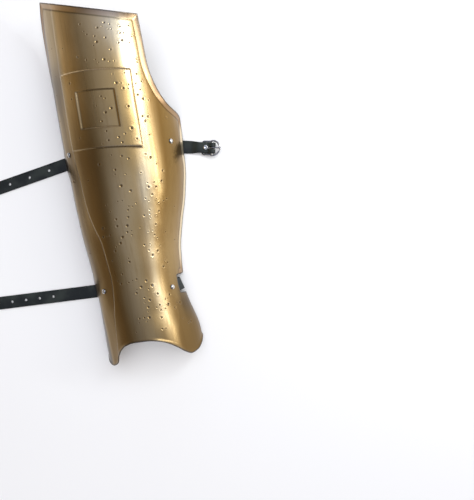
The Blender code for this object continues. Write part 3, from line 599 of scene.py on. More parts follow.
def scatter_pits(loop):
    """Seeded pits, most of them in a band on the buckle side of the crest, some of them in pairs."""
    draw = np.random.default_rng(31)
    closed = np.concatenate([loop, loop[:1]])
    pits = []
    waiting = []
    while len(pits) < PIT_COUNT:
        if not waiting:
            s = draw.normal(*PIT_BAND) if draw.random() < 0.72 else draw.uniform(-0.085, 0.085)
            y = draw.uniform(0.07, 0.97) * LENGTH
            waiting.append((s, y))
            if draw.random() < 0.30:
                turn = draw.uniform(0.0, 2 * math.pi)
                waiting.append((s + 0.0048 * math.cos(turn), y + 0.0048 * math.sin(turn)))
        s, y = waiting.pop()
        radius = PIT_RADIUS[0] + (PIT_RADIUS[1] - PIT_RADIUS[0]) * draw.random() ** 1.6
        depth = draw.uniform(*PIT_DEPTH) * radius / PIT_RADIUS[1]
        point = np.array([[s, y]])
        outer, inner = panel_edges(s, y)
        clear = radius * PIT_RINGS[-1][0] + GRID * 0.2
        far = [inside_loop(loop, point)[0], distance_to(closed, point)[0] > LIP_ROWS[-1] + clear,
               abs(outer - PANEL_BEVEL / 2) > clear + PANEL_BEVEL,
               abs(inner - PANEL_BEVEL / 2) > clear + PANEL_BEVEL,
               not -clear < crease_line(y) - s < clear + CREASE_STEP]
        far += [math.dist((s, y), strap_seat(name)) > 0.006 for name in STRAPS]
        far += [math.dist((s, y), other[:2]) > 1.5 * (radius + other[2]) for other in pits]
        if all(far):
            pits.append((s, y, radius, depth))
    return pits


# the plate

def circle(middle, radius, sides, start=0.0):
    angle = start + np.arange(sides) * 2 * math.pi / sides
    return np.array(middle) + radius * np.stack([np.cos(angle), np.sin(angle)], axis=-1)


def outline(step):
    """The plate's outline as one closed loop, anticlockwise in the flat pattern."""
    instep = end_line(instep_y, 0.0, step)
    buckle = rim_line(1, step)
    knee = end_line(knee_y, LENGTH, step)[::-1]
    crease = rim_line(-1, step)[::-1]
    return np.concatenate([instep[:-1], buckle[:-1], knee[:-1], crease[:-1]])


def panel_loop(width, height, step):
    """A slanted rectangle of the panel, in the flat pattern."""
    corners = [(-1, -1), (1, -1), (1, 1), (-1, 1)]
    points = []
    for (ax, ay), (bx, by) in zip(corners, corners[1:] + corners[:1]):
        count = max(2, int(round((width if ay == by else height) / step)))
        for i in range(count):
            x = (ax + (bx - ax) * i / count) * width / 2
            y = (ay + (by - ay) * i / count) * height / 2
            points.append((x + PANEL_SHIFT, y + PANEL_ALONG * LENGTH - math.tan(PANEL_SLANT) * x))
    return np.array(points)


def inset_rows(loop, insets):
    """Rows of points inside a closed loop."""
    ahead = np.roll(loop, -1, axis=0) - np.roll(loop, 1, axis=0)
    inward = np.stack([-ahead[:, 1], ahead[:, 0]], axis=-1)
    inward /= np.linalg.norm(inward, axis=1, keepdims=True)
    closed = np.concatenate([loop, loop[:1]])
    rows = []
    for inset in insets:
        points = loop + inward * inset
        points = points[inside_loop(loop, points)]
        rows.append(points[distance_to(closed, points) > inset * 0.93])
    return np.concatenate(rows)


def fill_points(loop, holes, pits):
    """An even field of points inside the plate, clear of its lines and pits."""
    low = loop.min(axis=0)
    high = loop.max(axis=0)
    rows = []
    for i, y in enumerate(np.arange(low[1] + GRID / 2, high[1], GRID * math.sqrt(3.0) / 2)):
        s = np.arange(low[0] + (GRID / 2 if i % 2 else 0.0), high[0], GRID)
        rows.append(np.stack([s, np.full_like(s, y)], axis=-1))
    points = np.concatenate(rows)
    points = points[inside_loop(loop, points)]
    clear = GRID * 0.45
    points = points[distance_to(np.concatenate([loop, loop[:1]]), points) > LIP_ROWS[-1] + clear]
    keep = np.ones(len(points), dtype=bool)
    for gap in panel_edges(points[:, 0], points[:, 1]):
        keep &= (gap < PANEL_BEVEL * BEVEL_ROWS[0] - clear) | (gap > PANEL_BEVEL * BEVEL_ROWS[-1] + clear)
    beyond = crease_line(points[:, 1]) - points[:, 0]
    crease_start, crease_end = CREASE_STEP * CREASE_ROWS[0], CREASE_STEP * CREASE_ROWS[-1]
    keep &= (beyond < crease_start - clear) | (beyond > crease_end + clear)
    points = points[keep]
    for hole in holes:
        points = points[np.linalg.norm(points - hole.mean(axis=0), axis=1) > SHANK_RADIUS + FIT_GAP + clear]
    for s, y, radius, _ in pits:
        points = points[np.linalg.norm(points - (s, y), axis=1) > radius * PIT_RINGS[-1][0] + clear]
    return points


def sheet_triangles(loop, pits):
    """The flat pattern cut into fine triangles that follow its lines."""
    holes = [circle(strap_seat(name), SHANK_RADIUS + FIT_GAP, 16) for name in STRAPS]
    points = [loop] + holes
    edges = []
    first = 0
    for line in points:
        last = first + len(line)
        edges += [(i, i + 1) for i in range(first, last - 1)] + [(last - 1, first)]
        first = last
    points.append(inset_rows(loop, LIP_ROWS))
    for width, height in ((PANEL_WIDTH, PANEL_HEIGHT), (SQUARE_WIDTH, SQUARE_HEIGHT)):
        for share in BEVEL_ROWS:
            inset = 2 * PANEL_BEVEL * share
            points.append(panel_loop(width - inset, height - inset, EDGE_STEP))
    closed = np.concatenate([loop, loop[:1]])
    y = np.arange(INSTEP_RISE * 0.5, LENGTH, EDGE_STEP)
    for share in CREASE_ROWS:
        row = np.stack([crease_line(y) - CREASE_STEP * share, y], axis=-1)
        row = row[inside_loop(loop, row)]
        row = row[distance_to(closed, row) > LIP_ROWS[-1] + GRID / 2]
        outer, _ = panel_edges(row[:, 0], row[:, 1])
        points.append(row[(outer < -GRID) | (outer > PANEL_BEVEL + GRID)])
    for s, y, radius, _ in pits:
        points.append(np.array([[s, y]]))
        for share, sides in PIT_RINGS:
            points.append(circle((s, y), radius * share, sides, share))
    points.append(fill_points(loop, holes, pits))
    field = np.concatenate(points)
    flat, _, faces, *_ = delaunay_2d_cdt([Vector(p) for p in field], edges, [], 0, 1e-7)
    flat = np.array([tuple(p) for p in flat])
    faces = np.array([tuple(face) for face in faces])
    middles = flat[faces].mean(axis=1)
    keep = inside_loop(loop, middles)
    for hole in holes:
        keep &= ~inside_loop(hole, middles)
    faces = faces[keep]
    used, place = np.unique(faces, return_inverse=True)
    return flat[used], place.reshape(faces.shape)


def bell(value, width):
    return np.exp(-(value / width) ** 2)


def plate_relief(s, y, pits):
    """Full relief of the sheet with lips, pits and slow unevenness, how dark each point is with tarnish and
    painted shade, and its share of wear and painted sheen.
    """
    points = np.stack([s, y], axis=-1)
    buckle = rim_line(1, EDGE_STEP)
    above = buckle[buckle[:, 1] > NOTCH_ALONG * LENGTH + NOTCH_LENGTH / 2 + NOTCH_RAMP / 2]
    knee = end_line(knee_y, LENGTH, EDGE_STEP)[::-1]
    crease = rim_line(-1, EDGE_STEP)
    wide = np.concatenate([above, knee[1:-1], crease[crease[:, 1] > LOBE_TOP * LENGTH][::-1]])
    wide_gap = distance_to(wide, points)
    narrow_gap = distance_to(end_line(instep_y, 0.0, EDGE_STEP), points)
    height = form(s, y) + lip_height(wide_gap, LIP_WIDTH, LIP_TURN)
    height += lip_height(narrow_gap, INSTEP_LIP_WIDTH, INSTEP_LIP_TURN)
    outer, inner = panel_edges(s, y)
    beyond = crease_line(y) - s
    dark = 0.40 * bell(outer - 0.1 * PANEL_BEVEL, 0.0005) + 0.50 * bell(inner - 0.95 * PANEL_BEVEL, 0.0005)
    # tarnish at the foot of the crease step, and painted shade down its face
    dark += 0.75 * bell(beyond - CREASE_STEP, 0.0012) * curve(CREASE, 2, y / LENGTH)
    dark += 0.60 * bell(beyond - 0.55 * CREASE_STEP, 0.0009) * curve(CREASE, 2, y / LENGTH) ** 2
    dark += 0.72 * bell(wide_gap - LIP_WIDTH - 0.0002, 0.0011)
    # rubbed edges round the panel and the square, lightened further as a painted highlight
    wear_and_painted_sheen = 0.55 * bell(outer - PANEL_BEVEL, 0.0006) + 0.25 * bell(inner, 0.0005)
    along = y / LENGTH
    # painted highlight along the top edge of the crease step
    wear_and_painted_sheen += 0.35 * bell(beyond, 0.0008) * curve(CREASE, 2, along) ** 3 * smooth((along - 0.08) / 0.12)
    lip = 1.0 - smooth((wide_gap / LIP_WIDTH - 0.75) / 0.25)
    # painted reflection: the buckle-side lip lightened as if catching the floor
    wear_and_painted_sheen += 0.9 * lip * (s > 0.0) * (1.0 - smooth((along - 0.60) / 0.05)) * smooth((along - 0.20) / 0.08)
    for across, along, phase in make_waves():
        height += WAVE_HEIGHT * np.sin(across * s + along * y + phase)
    for pit_s, pit_y, radius, depth in pits:
        gap = np.hypot(s - pit_s, y - pit_y) / radius
        height -= depth * (1.0 - smooth(gap)) - 0.20 * depth * bell(gap - 1.10, 0.24)
        dark += 1.0 - smooth((gap - 0.15) / 0.70)
        # painted highlight round each pit's rim
        wear_and_painted_sheen += 0.40 * bell(gap - 1.12, 0.20)
    return height, {"tarnish_and_painted_shade": np.clip(dark, 0.0, 1.0), "wear_and_painted_sheen": np.clip(wear_and_painted_sheen, 0.0, 1.0), "lip": lip}


def tones_and_painted_light(s, y):
    """Shares of tone and painted light: darker at the sides (painted reflections and painted shade), on the
    shin (its own tone, with painted shade down its crease side) and on the lobes, and lighter along one band
    (a painted highlight).
    """
    turn = np.degrees(s / girth(y))
    along = y / LENGTH
    shin = 1.0 - smooth((along - 0.54) / 0.24)
    # the shin's own darker tone, with painted shade down its crease side and on the crease-side wall; the
    # lobes are darker too
    brown_tone_and_painted_shade = 0.40 + 0.27 * (1.0 - smooth((along - 0.10) / 0.22))
    brown_tone_and_painted_shade = np.maximum(brown_tone_and_painted_shade * shin, 0.88 * shin * smooth((-turn + 2.0) / 24.0))
    brown_tone_and_painted_shade = np.maximum(brown_tone_and_painted_shade, 0.9 * shin * smooth((-turn - 40.0) / 6.0))
    lobe = smooth((turn - 36.0 - 10.0 * smooth((along - 0.05) / 0.08)) / 8.0)
    brown_tone_and_painted_shade = np.maximum(brown_tone_and_painted_shade, 0.85 * lobe * (1.0 - smooth((along - 0.13) / 0.07)))
    # painted reflection: a warm, darker tint on the buckle side, standing in for the room's surroundings seen
    # in the metal
    painted_amber_reflection = smooth((turn - 38.0) / 12.0) * (1.0 - 0.55 * bell(along - 0.24, 0.15))
    # painted reflection: a greyer tint at the crease-side rim and high on the crease side, standing in for
    # the floor seen in the metal
    high = 0.85 - 0.30 * smooth((along - 0.76) / 0.10)
    painted_grey_reflection = np.maximum(smooth((-turn - 60.0) / 8.0), high * (1.0 - shin) * smooth((-turn - 36.0) / 9.0))
    # painted highlight: a lighter, whiter band along the key light's reflection
    painted_highlight = curve(PAINTED_HIGHLIGHT_BAND, 3, along) * bell(turn - curve(PAINTED_HIGHLIGHT_BAND, 1, along), curve(PAINTED_HIGHLIGHT_BAND, 2, along))
    # painted shade on the crease-side wall and at the buckle-side lobe's edge
    shade = 0.55 * bell(turn + 54.0, 7.0) * smooth((along - 0.20) / 0.08)
    shade = shade * (1.0 - smooth((along - 0.72) / 0.12))
    shade = np.maximum(shade, 0.65 * smooth((turn - 56.0) / 10.0) * bell(along - 0.14, 0.05))
    return {"brown_tone_and_painted_shade": brown_tone_and_painted_shade * (1.0 - painted_grey_reflection) * (1.0 - painted_highlight), "painted_amber_reflection": painted_amber_reflection * (1.0 - painted_highlight), "painted_grey_reflection": painted_grey_reflection,
            "shade": shade, "painted_highlight": painted_highlight}


def make_plate(material):
    loop = outline(EDGE_STEP)
    pits = scatter_pits(loop)
    flat, faces = sheet_triangles(loop, pits)
    s, y = flat[:, 0], flat[:, 1]
    height, marks = plate_relief(s, y, pits)
    marks.update(tones_and_painted_light(s, y))
    base = arch(s, y)
    normal = arch_normal(s, y)
    outer = base + normal * height[:, None]
    inner = base + normal * (height - PLATE)[:, None]
    count = len(flat)
    used = set()
    for face in faces.tolist():
        used.update(zip(face, face[1:] + face[:1]))
    rim = [(a, b) for a, b in used if (b, a) not in used]
    rim_ids = sorted({a for a, _ in rim})
    out = {a: np.zeros(3) for a in rim_ids}
    for a, b in rim:
        side = np.cross(outer[b] - outer[a], normal[a])
        out[a] += side
        out[b] += side
    ring = {a: 2 * count + i for i, a in enumerate(rim_ids)}
    bulge = np.array([(outer[a] + inner[a]) / 2 + unit(out[a]) * RIM_ROUND for a in rim_ids])
    bulge[:, 2] = np.maximum(bulge[:, 2], min(outer[:, 2].min(), inner[:, 2].min()))
    walls = []
    for a, b in rim:
        walls.append((b, a, ring[a], ring[b]))
        walls.append((ring[b], ring[a], a + count, b + count))
    backs = faces[:, ::-1] + count
    mesh = bpy.data.meshes.new("shin_plate_sheet")
    corners = np.concatenate([outer, inner, bulge])
    mesh.from_pydata(corners.tolist(), [], faces.tolist() + backs.tolist() + walls)
    gap = distance_to(np.concatenate([loop, loop[:1]]), flat)
    # dark rim: the steel edge's own tone, widened over the outer face as a painted shadow outline
    rim_and_shadow_share = np.concatenate([np.clip(1.0 - gap / RIM_SHADOW_BAND, 0.0, 1.0)] * 2 + [np.ones(len(bulge))])
    bare = np.zeros(count + len(bulge))
    inside = np.concatenate([np.zeros(count), np.ones(count), np.full(len(bulge), 0.5)])
    marks = {name: np.concatenate([values, bare]) for name, values in marks.items()}
    marks.update(rim=rim_and_shadow_share, inside=inside)
    for name, values in marks.items():
        layer = mesh.attributes.new(name, "FLOAT", "POINT")
        layer.data.foreach_set("value", values.astype(np.float32))
    mesh.materials.append(material)
    mesh.shade_smooth()
    return mesh


# placing: everything is made about the part's own origin, then shifted to where the frame's plate lies

def place_of_plate(mesh):
    """The shift that brings the fine plate onto the frame's."""
    points = np.array([v.co for v in mesh.vertices])
    low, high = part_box("shin_plate")
    middle = (np.array(low) + np.array(high)) / 2
    shift = middle - (points.min(axis=0) + points.max(axis=0)) / 2
    shift[2] = high[2] - points[:, 2].max()
    return Vector(shift)


def add_piece(name, mesh, body, replaced):
    """Link a finished mesh and let it ride on its body in its CAD node's place."""
    piece = bpy.data.objects.new(name, mesh)
    bpy.context.scene.collection.objects.link(piece)
    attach(piece, body)
    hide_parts(replaced)


# swept and turned bodies

def sweep(name, rings, closed=False):
    """A closed body through rings of points, capped at both ends unless it closes on itself."""
    sides = len(rings[0])
    vertices = [tuple(p) for ring in rings for p in ring]
    faces = []
    last = len(rings) if closed else len(rings) - 1
    for i in range(last):
        for j in range(sides):
            k = (j + 1) % sides
            n = (i + 1) % len(rings)
            faces.append((i * sides + j, i * sides + k, n * sides + k, n * sides + j))
    if not closed:
        faces.append(tuple(reversed(range(sides))))
        faces.append(tuple((len(rings) - 1) * sides + j for j in range(sides)))
    mesh = bpy.data.meshes.new(name)
    mesh.from_pydata(vertices, [], faces)
    shape = bmesh.new()
    shape.from_mesh(mesh)
    bmesh.ops.recalc_face_normals(shape, faces=shape.faces)
    shape.to_mesh(mesh)
    shape.free()
    return mesh


def tube_rings(points, radii, sides, side_axis, closed=False):
    """Round rings along a path that lies square to side_axis."""
    points = np.array(points)
    rings = []
    for i, point in enumerate(points):
        before = points[i - 1] if closed or i else points[i]
        after = points[(i + 1) % len(points)] if closed or i + 1 < len(points) else points[i]
        normal = unit(np.cross(side_axis, unit(after - before)))
        angle = 2 * math.pi * (np.arange(sides) + 0.5) / sides
        around = np.cos(angle)[:, None] * normal + np.sin(angle)[:, None] * np.array(side_axis)
        ring = point + radii[i] * around
        rings.append(ring)
    return rings


def turned(name, profile, sides):
    """A body turned about z from a profile of (radius, height) that starts and ends on the axis."""
    vertices = [(0.0, 0.0, profile[0][1])]
    for radius, height in profile[1:-1]:
        for j in range(sides):
            angle = 2 * math.pi * j / sides
            vertices.append((radius * math.cos(angle), radius * math.sin(angle), height))
    vertices.append((0.0, 0.0, profile[-1][1]))
    faces = []
    rows = len(profile) - 2
    for j in range(sides):
        k = (j + 1) % sides
        faces.append((0, 1 + j, 1 + k))
        for i in range(rows - 1):
            a = 1 + i * sides
            b = a + sides
            faces.append((a + j, b + j, b + k, a + k))
        a = 1 + (rows - 1) * sides
        faces.append((a + j, len(vertices) - 1, a + k))
    mesh = bpy.data.meshes.new(name)
    mesh.from_pydata(vertices, [], faces)
    return mesh


def basis(origin, x_axis, y_axis, z_axis):
    made = Matrix.Identity(4)
    for column, axis in enumerate((x_axis, y_axis, z_axis, origin)):
        for row in range(3):
            made[row][column] = float(axis[row])
    return made


def facing(origin, normal, along):
    """A matrix whose z runs along a normal and whose x lies near a given direction."""
    z_axis = unit(normal)
    y_axis = unit(np.cross(z_axis, along))
    return basis(origin, np.cross(y_axis, z_axis), y_axis, z_axis)


def dressed(mesh, material, sharp):
    """A mesh in its material, shaded smooth but for the edges sharper than an angle in degrees."""
    mesh.materials.clear()
    mesh.materials.append(material)
    mesh.shade_smooth()
    mesh.set_sharp_from_angle(angle=math.radians(sharp))
    return mesh


# straps: each is a list of stops (point, face normal) along the leather's middle

def plan_heading(name):
    angle = math.radians(STRAPS[name]["heading"])
    return np.array([math.cos(angle), math.sin(angle), 0.0])


def wall_stop(name, turn):
    """A stop against the inner wall, in the upright plane of the strap's heading."""
    s0, y0 = strap_seat(name)
    start = surface(s0, y0)
    slope = math.tan(math.radians(STRAPS[name]["heading"]))
    y = y0
    for _ in range(6):
        s = turn * float(girth(y))
        point = surface(s, y, PLATE + WALL_GAP + STRAP_THICK / 2)
        y = y0 + (point[0] - start[0]) * slope
    return point, sheet_normal(s, y)


def wall_stops(name, stop_height):
    """Stops from the strap's inner end down the wall, to a height over the floor."""
    s0, y0 = strap_seat(name)
    side = math.copysign(1.0, s0)
    radius = float(girth(y0))
    first = s0 / radius - side * STRAP_TOP / radius
    high, low = first, side * math.pi / 2
    for _ in range(24):
        last = (high + low) / 2
        if wall_stop(name, last)[0][2] > stop_height:
            high = last
        else:
            low = last
    count = int(round(abs(last - first) * radius / WALL_STEP)) + 1
    return [wall_stop(name, turn) for turn in np.linspace(first, last, count)]


def plane_point(name, origin, reach, height):
    return np.array([origin[0], origin[1], height]) + plan_heading(name) * reach


def plane_normal(name, angle):
    """Face normal in the heading's upright plane for a run at an angle over the horizontal."""
    return UP * math.cos(angle) - plan_heading(name) * math.sin(angle)


def bend(name, stops, turn_to, radius, count):
    """Add an arc in the upright plane, from the last stop's direction to another one."""
    origin, last_normal = stops[-1]
    heading = plan_heading(name)
    side = np.cross(heading, UP)
    lean = float(last_normal @ side)
    travel = unit(origin - stops[-2][0])
    start = math.atan2(travel[2], float(travel @ heading))
    turning = math.copysign(1.0, turn_to - start)
    reach = 0.0
    height = origin[2]
    made = []
    for i in range(1, count + 1):
        before = start + (turn_to - start) * (i - 1) / count
        angle = start + (turn_to - start) * i / count
        reach += turning * radius * (math.sin(angle) - math.sin(before))
        height -= turning * radius * (math.cos(angle) - math.cos(before))
        normal = unit(plane_normal(name, angle) + side * lean * (1 - i / count))
        made.append((plane_point(name, origin, reach, height), normal))
    return stops + made


def leather_profile(width, thick):
    """Cross-section of a strap with eased edges, as (across, through)."""
    ease = 0.36 * thick
    points = []
    for a, b, start in ((1, 1, 0.0), (-1, 1, 90.0), (-1, -1, 180.0), (1, -1, 270.0)):
        for angle in (0.0, 30.0, 60.0, 90.0):
            turn = math.radians(start + angle)
            points.append((a * (width / 2 - ease) + ease * math.cos(turn),
                           b * (thick / 2 - ease) + ease * math.sin(turn)))
        if a != b:
            continue
        for share in (0.5, 0.0, -0.5):
            points.append((a * share * width / 2, b * thick / 2))
    return points


def strap_rings(stops, widths):
    rings = []
    points = np.array([stop[0] for stop in stops])
    for i, (point, normal) in enumerate(stops):
        before = points[max(i - 1, 0)]
        after = points[min(i + 1, len(points) - 1)]
        tangent = unit(after - before)
        side = unit(np.cross(tangent, normal))
        face = np.cross(side, tangent)
        rings.append([point + side * a + face * b for a, b in leather_profile(widths[i], STRAP_THICK)])
    return rings


def path_place(stops, distance, start):
    """Point, tangent and normal at a distance along the stops, counted from stop number start."""
    points = [stop[0] for stop in stops]
    for i in range(start, len(points) - 1):
        length = float(np.linalg.norm(points[i + 1] - points[i]))
        if distance <= length:
            point = points[i] + (points[i + 1] - points[i]) * distance / length
            return point, unit(points[i + 1] - points[i]), stops[i + 1][1]
        distance -= length
    raise ValueError("the strap is too short for its holes")


def drill(radius):
    reach = 2.5 * STRAP_THICK
    return turned("drill", [(0, reach), (radius, reach), (radius, -reach), (0, -reach)], 20)


def box_mesh(low, high):
    shape = bmesh.new()
    bmesh.ops.create_cube(shape, size=1.0)
    for vertex in shape.verts:
        vertex.co = Vector([low[i] if vertex.co[i] < 0 else high[i] for i in range(3)])
    mesh = bpy.data.meshes.new("box")
    shape.to_mesh(mesh)
    shape.free()
    return mesh


def rivet_cut(name):
    s, y = strap_seat(name)
    normal = sheet_normal(s, y)
    point = surface(s, y) - normal * (PLATE + WALL_GAP + STRAP_THICK / 2)
    return drill(SHANK_RADIUS + FIT_GAP), facing(point, normal, (0.0, 1.0, 0.0))


def cut_mesh(mesh, cuts, operation="DIFFERENCE"):
    """A mesh with the given bodies cut away, or joined on."""
    shape = bmesh.new()
    for tool, matrix in cuts:
        first = len(shape.verts)
        shape.from_mesh(tool)
        shape.verts.ensure_lookup_table()
        bmesh.ops.transform(shape, matrix=matrix, verts=shape.verts[first:])
    tools = bpy.data.meshes.new("tools")
    shape.to_mesh(tools)
    shape.free()
    work = [bpy.data.objects.new("work", mesh), bpy.data.objects.new("work_tool", tools)]
    for thing in work:
        bpy.context.scene.collection.objects.link(thing)
    modifier = work[0].modifiers.new("cut", "BOOLEAN")
    modifier.operation = operation
    modifier.object = work[1]
    modifier.solver = "EXACT"
    bpy.context.view_layer.update()
    made = bpy.data.meshes.new_from_object(work[0].evaluated_get(bpy.context.evaluated_depsgraph_get()))
    for thing in work:
        bpy.data.objects.remove(thing)
    shape = bmesh.new()
    shape.from_mesh(made)
    bmesh.ops.remove_doubles(shape, verts=shape.verts, dist=MERGE)
    bmesh.ops.dissolve_degenerate(shape, edges=shape.edges, dist=MERGE)
    shape.to_mesh(made)
    shape.free()
    return made


def finish_strap(name, stops, widths, cuts, material):
    return dressed(cut_mesh(sweep(name, strap_rings(stops, widths)), cuts), material, LEATHER_SHARP)


def down_to_floor(name):
    """Stops from the strap's inner end down the wall and out onto the floor."""
    stops = wall_stops(name, STRAP_THICK / 2 + STRAP_BEND)
    travel = unit(stops[-1][0] - stops[-2][0])
    drop = stops[-1][0][2] - STRAP_THICK / 2
    fall = -math.atan2(travel[2], float(travel @ plan_heading(name)))
    return bend(name, stops, 0.0, drop / (1 - math.cos(fall)), 10)


def tongue_strap(name, free, holes, material):
    stops = down_to_floor(name)
    rim = len(stops) - 1
    origin = stops[-1][0]
    run = np.linspace(0.0, free - TIP_LENGTH, 40)[1:]
    turns = np.linspace(0.0, TIP_TURN, 12)[1:]
    tip = free - TIP_LENGTH * (1 - np.sin(turns))
    for reach in np.concatenate([run, tip]):
        stops.append((plane_point(name, origin, reach, origin[2]), UP))
    widths = [STRAP_WIDTH] * (len(stops) - len(turns)) + list(STRAP_WIDTH * np.cos(turns))
    cuts = [rivet_cut(name)]
    for i in range(holes["count"]):
        point, tangent, normal = path_place(stops, holes["first"] + i * holes["pitch"], rim)
        cuts.append((drill(HOLE_RADIUS), facing(point, normal, tangent)))
    return finish_strap(name + "_leather", stops, widths, cuts, material)


# buckles: a is the distance past the bar along the strap, b the height towards the face side

FOLD_RADIUS = WIRE_RADIUS + FIT_GAP + STRAP_THICK / 2
EYE_RADIUS = WIRE_RADIUS + FIT_GAP + PRONG_RADIUS
SPREAD_BAR_HEIGHT = BURR_THICK + 2 * FIT_GAP + STRAP_THICK + WIRE_RADIUS
FRAME_TILT = math.asin((SPREAD_BAR_HEIGHT - WIRE_RADIUS) / RAIL_BACK)
TUCKED_BAR_HEIGHT = PRONG_REACH * math.sin(FRAME_TILT) + EYE_RADIUS * math.cos(FRAME_TILT) + PRONG_RADIUS
CHAPE_WIDTH = 2 * (RAIL_HALF_WIDTH - WIRE_RADIUS - SIDE_GAP)
LAY_END = RAIL_BACK + 2.2 * WIRE_RADIUS
LAY_START = LAY_END + LAY_LENGTH


def chape_stops(start_height):
    """The strap's middle near the bar as (a, b): up to the bar, round it and back under itself."""
    line = []
    for a in np.linspace(-LAY_START, -LAY_END, 12):
        share = float(smooth((a + LAY_START) / (LAY_START - LAY_END)))
        line.append((a, start_height * (1 - share)))
    line.append((-CHAPE_RIVET_BACK, 0.0))
    rise_from = -CHAPE_RIVET_BACK + CHAPE_DOME_RADIUS
    for a in np.linspace(rise_from, -FOLD_START, 9):
        line.append((a, FOLD_RADIUS * float(smooth((a - rise_from) / (-FOLD_START - rise_from)))))
    for angle in np.radians(np.linspace(90.0, -90.0, 19)[1:]):
        line.append((FOLD_RADIUS * math.cos(angle), FOLD_RADIUS * math.sin(angle)))
    line.append((-CHAPE_RIVET_BACK, -FOLD_RADIUS))
    line.append((-CHAPE_END_BACK, -FOLD_RADIUS))
    return line


def buckle_strap(name, stops, bar, e_a, e_b, start_height, material):
    """A strap that ends folded round its buckle's bar."""
    first = len(stops)
    line = chape_stops(start_height)
    for a, b in line:
        stops.append((bar + e_a * a + e_b * b, None))
    points = [stop[0] for stop in stops]
    e_w = np.cross(e_b, e_a)
    for i in range(first, len(stops)):
        ahead = points[min(i + 1, len(points) - 1)] - points[i - 1]
        stops[i] = (points[i], unit(np.cross(ahead, e_w)))
    widths = [STRAP_WIDTH] * first
    for a, _ in line:
        share = float(smooth((a + LAY_START) / (LAY_START - LAY_END)))
        widths.append(STRAP_WIDTH + (CHAPE_WIDTH - STRAP_WIDTH) * share)
    frame = basis(bar, e_a, e_w, e_b)
    slot_half = PRONG_RADIUS + SIDE_GAP
    reach = FOLD_RADIUS + STRAP_THICK
    slot = box_mesh((-SLOT_BACK, -slot_half, -reach), (reach, slot_half, reach))
    hole_place = frame @ Matrix.Translation((-CHAPE_RIVET_BACK, 0.0, -FOLD_RADIUS / 2))
    cuts = [rivet_cut(name), (slot, frame), (drill(SHANK_RADIUS + FIT_GAP), hole_place)]
    return finish_strap(name + "_leather", stops, widths, cuts, material)


def spread_layout(name):
    """Stops, bar, directions and start height of the calf's buckle strap, spread out face up."""
    stops = down_to_floor(name)
    bar = plane_point(name, stops[-1][0], BUCKLE_FREE, SPREAD_BAR_HEIGHT)
    return stops, bar, plan_heading(name), UP, STRAP_THICK / 2 - SPREAD_BAR_HEIGHT


def tucked_layout(name):
    """The same for the ankle's, which curls back under the plate, face down."""
    heading = plan_heading(name)
    stops = wall_stops(name, NOTCH_HEIGHT + PLATE)
    travel = unit(stops[-1][0] - stops[-2][0])
    fall = math.atan2(travel[2], float(travel @ heading))
    leave = STRAP_THICK / 2 + CURL_RADIUS * (1 + math.cos(fall))
    run = (stops[-1][0][2] - leave) / -travel[2]
    last, normal = stops[-1]
    for share in (0.25, 0.5, 0.75, 1.0):
        blended = unit((1 - share) * normal + share * plane_normal(name, fall))
        stops.append((last + (heading * math.cos(fall) + UP * math.sin(fall)) * run * share, blended))
    stops = bend(name, stops, -math.pi, CURL_RADIUS, 24)
    bar = plane_point(name, stops[-1][0], -TUCKED_FREE, TUCKED_BAR_HEIGHT)
    return stops, bar, -heading, -UP, TUCKED_BAR_HEIGHT - STRAP_THICK / 2


def frame_mesh(name):
    """Round half past the bar and squared half behind it, in the plane of a and the bar."""
    loop = []
    for angle in np.radians(np.linspace(-90.0, 90.0, 41)):
        loop.append((RING_RADIUS * math.cos(angle), RING_RADIUS * math.sin(angle), 0.0))
    loop.append((-RAIL_START, RAIL_HALF_WIDTH, 0.0))
    for side, start in ((1, 90.0), (-1, 180.0)):
        for angle in np.radians(np.linspace(start, start + 90.0, 9)):
            loop.append((RAIL_CORNER - RAIL_BACK + RAIL_CORNER * math.cos(angle),
                         side * (RAIL_HALF_WIDTH - RAIL_CORNER) + RAIL_CORNER * math.sin(angle), 0.0))
    loop.append((-RAIL_START, -RAIL_HALF_WIDTH, 0.0))
    rings = tube_rings(loop, [WIRE_RADIUS] * len(loop), 18, (0.0, 0.0, 1.0), closed=True)
    reach = RING_RADIUS - WIRE_RADIUS / 2
    rod_ends = [(0.0, -reach, 0.0), (0.0, reach, 0.0)]
    rod = sweep("rod", tube_rings(rod_ends, [WIRE_RADIUS] * 2, 18, (0.0, 0.0, 1.0)))
    return cut_mesh(sweep(name, rings, closed=True), [(rod, Matrix.Identity(4))], "UNION")


def prong_mesh(name):
    path = []
    for angle in np.radians(np.linspace(-10.0, -270.0, 32)):
        path.append((EYE_RADIUS * math.cos(angle), 0.0, EYE_RADIUS * math.sin(angle)))
    for reach in np.linspace(0.0, PRONG_REACH - PRONG_POINT, 6)[1:]:
        path.append((reach, 0.0, EYE_RADIUS))
    radii = [PRONG_RADIUS] * len(path)
    for share in (0.35, 0.7, 0.9, 1.0):
        path.append((PRONG_REACH - PRONG_POINT * (1 - share), 0.0, EYE_RADIUS))
        radii.append(PRONG_TIP + (PRONG_RADIUS - PRONG_TIP) * math.sqrt(1 - share ** 2))
    return sweep(name, tube_rings(path, radii, 16, (0.0, 1.0, 0.0)))


def strap_rivet_mesh(name):
    """A domed rivet through sheet and strap, with a washer and a peened end inside."""
    low = -PLATE - WALL_GAP - STRAP_THICK - FIT_GAP
    profile = [(0.0, FIT_GAP + DOME_HEIGHT)]
    for angle in np.radians((14.0, 28.0, 42.0, 56.0, 70.0, 82.0)):
        level = FIT_GAP + 0.0002 + (DOME_HEIGHT - 0.0002) * math.cos(angle)
        profile.append((DOME_RADIUS * math.sin(angle), level))
    profile += [(DOME_RADIUS, FIT_GAP), (SHANK_RADIUS, FIT_GAP), (SHANK_RADIUS, low), (BURR_RADIUS, low),
                (BURR_RADIUS, low - 0.7 * BURR_THICK), (0.8 * BURR_RADIUS, low - BURR_THICK),
                (0.0, low - 0.8 * BURR_THICK)]
    return turned(name, profile, 32)


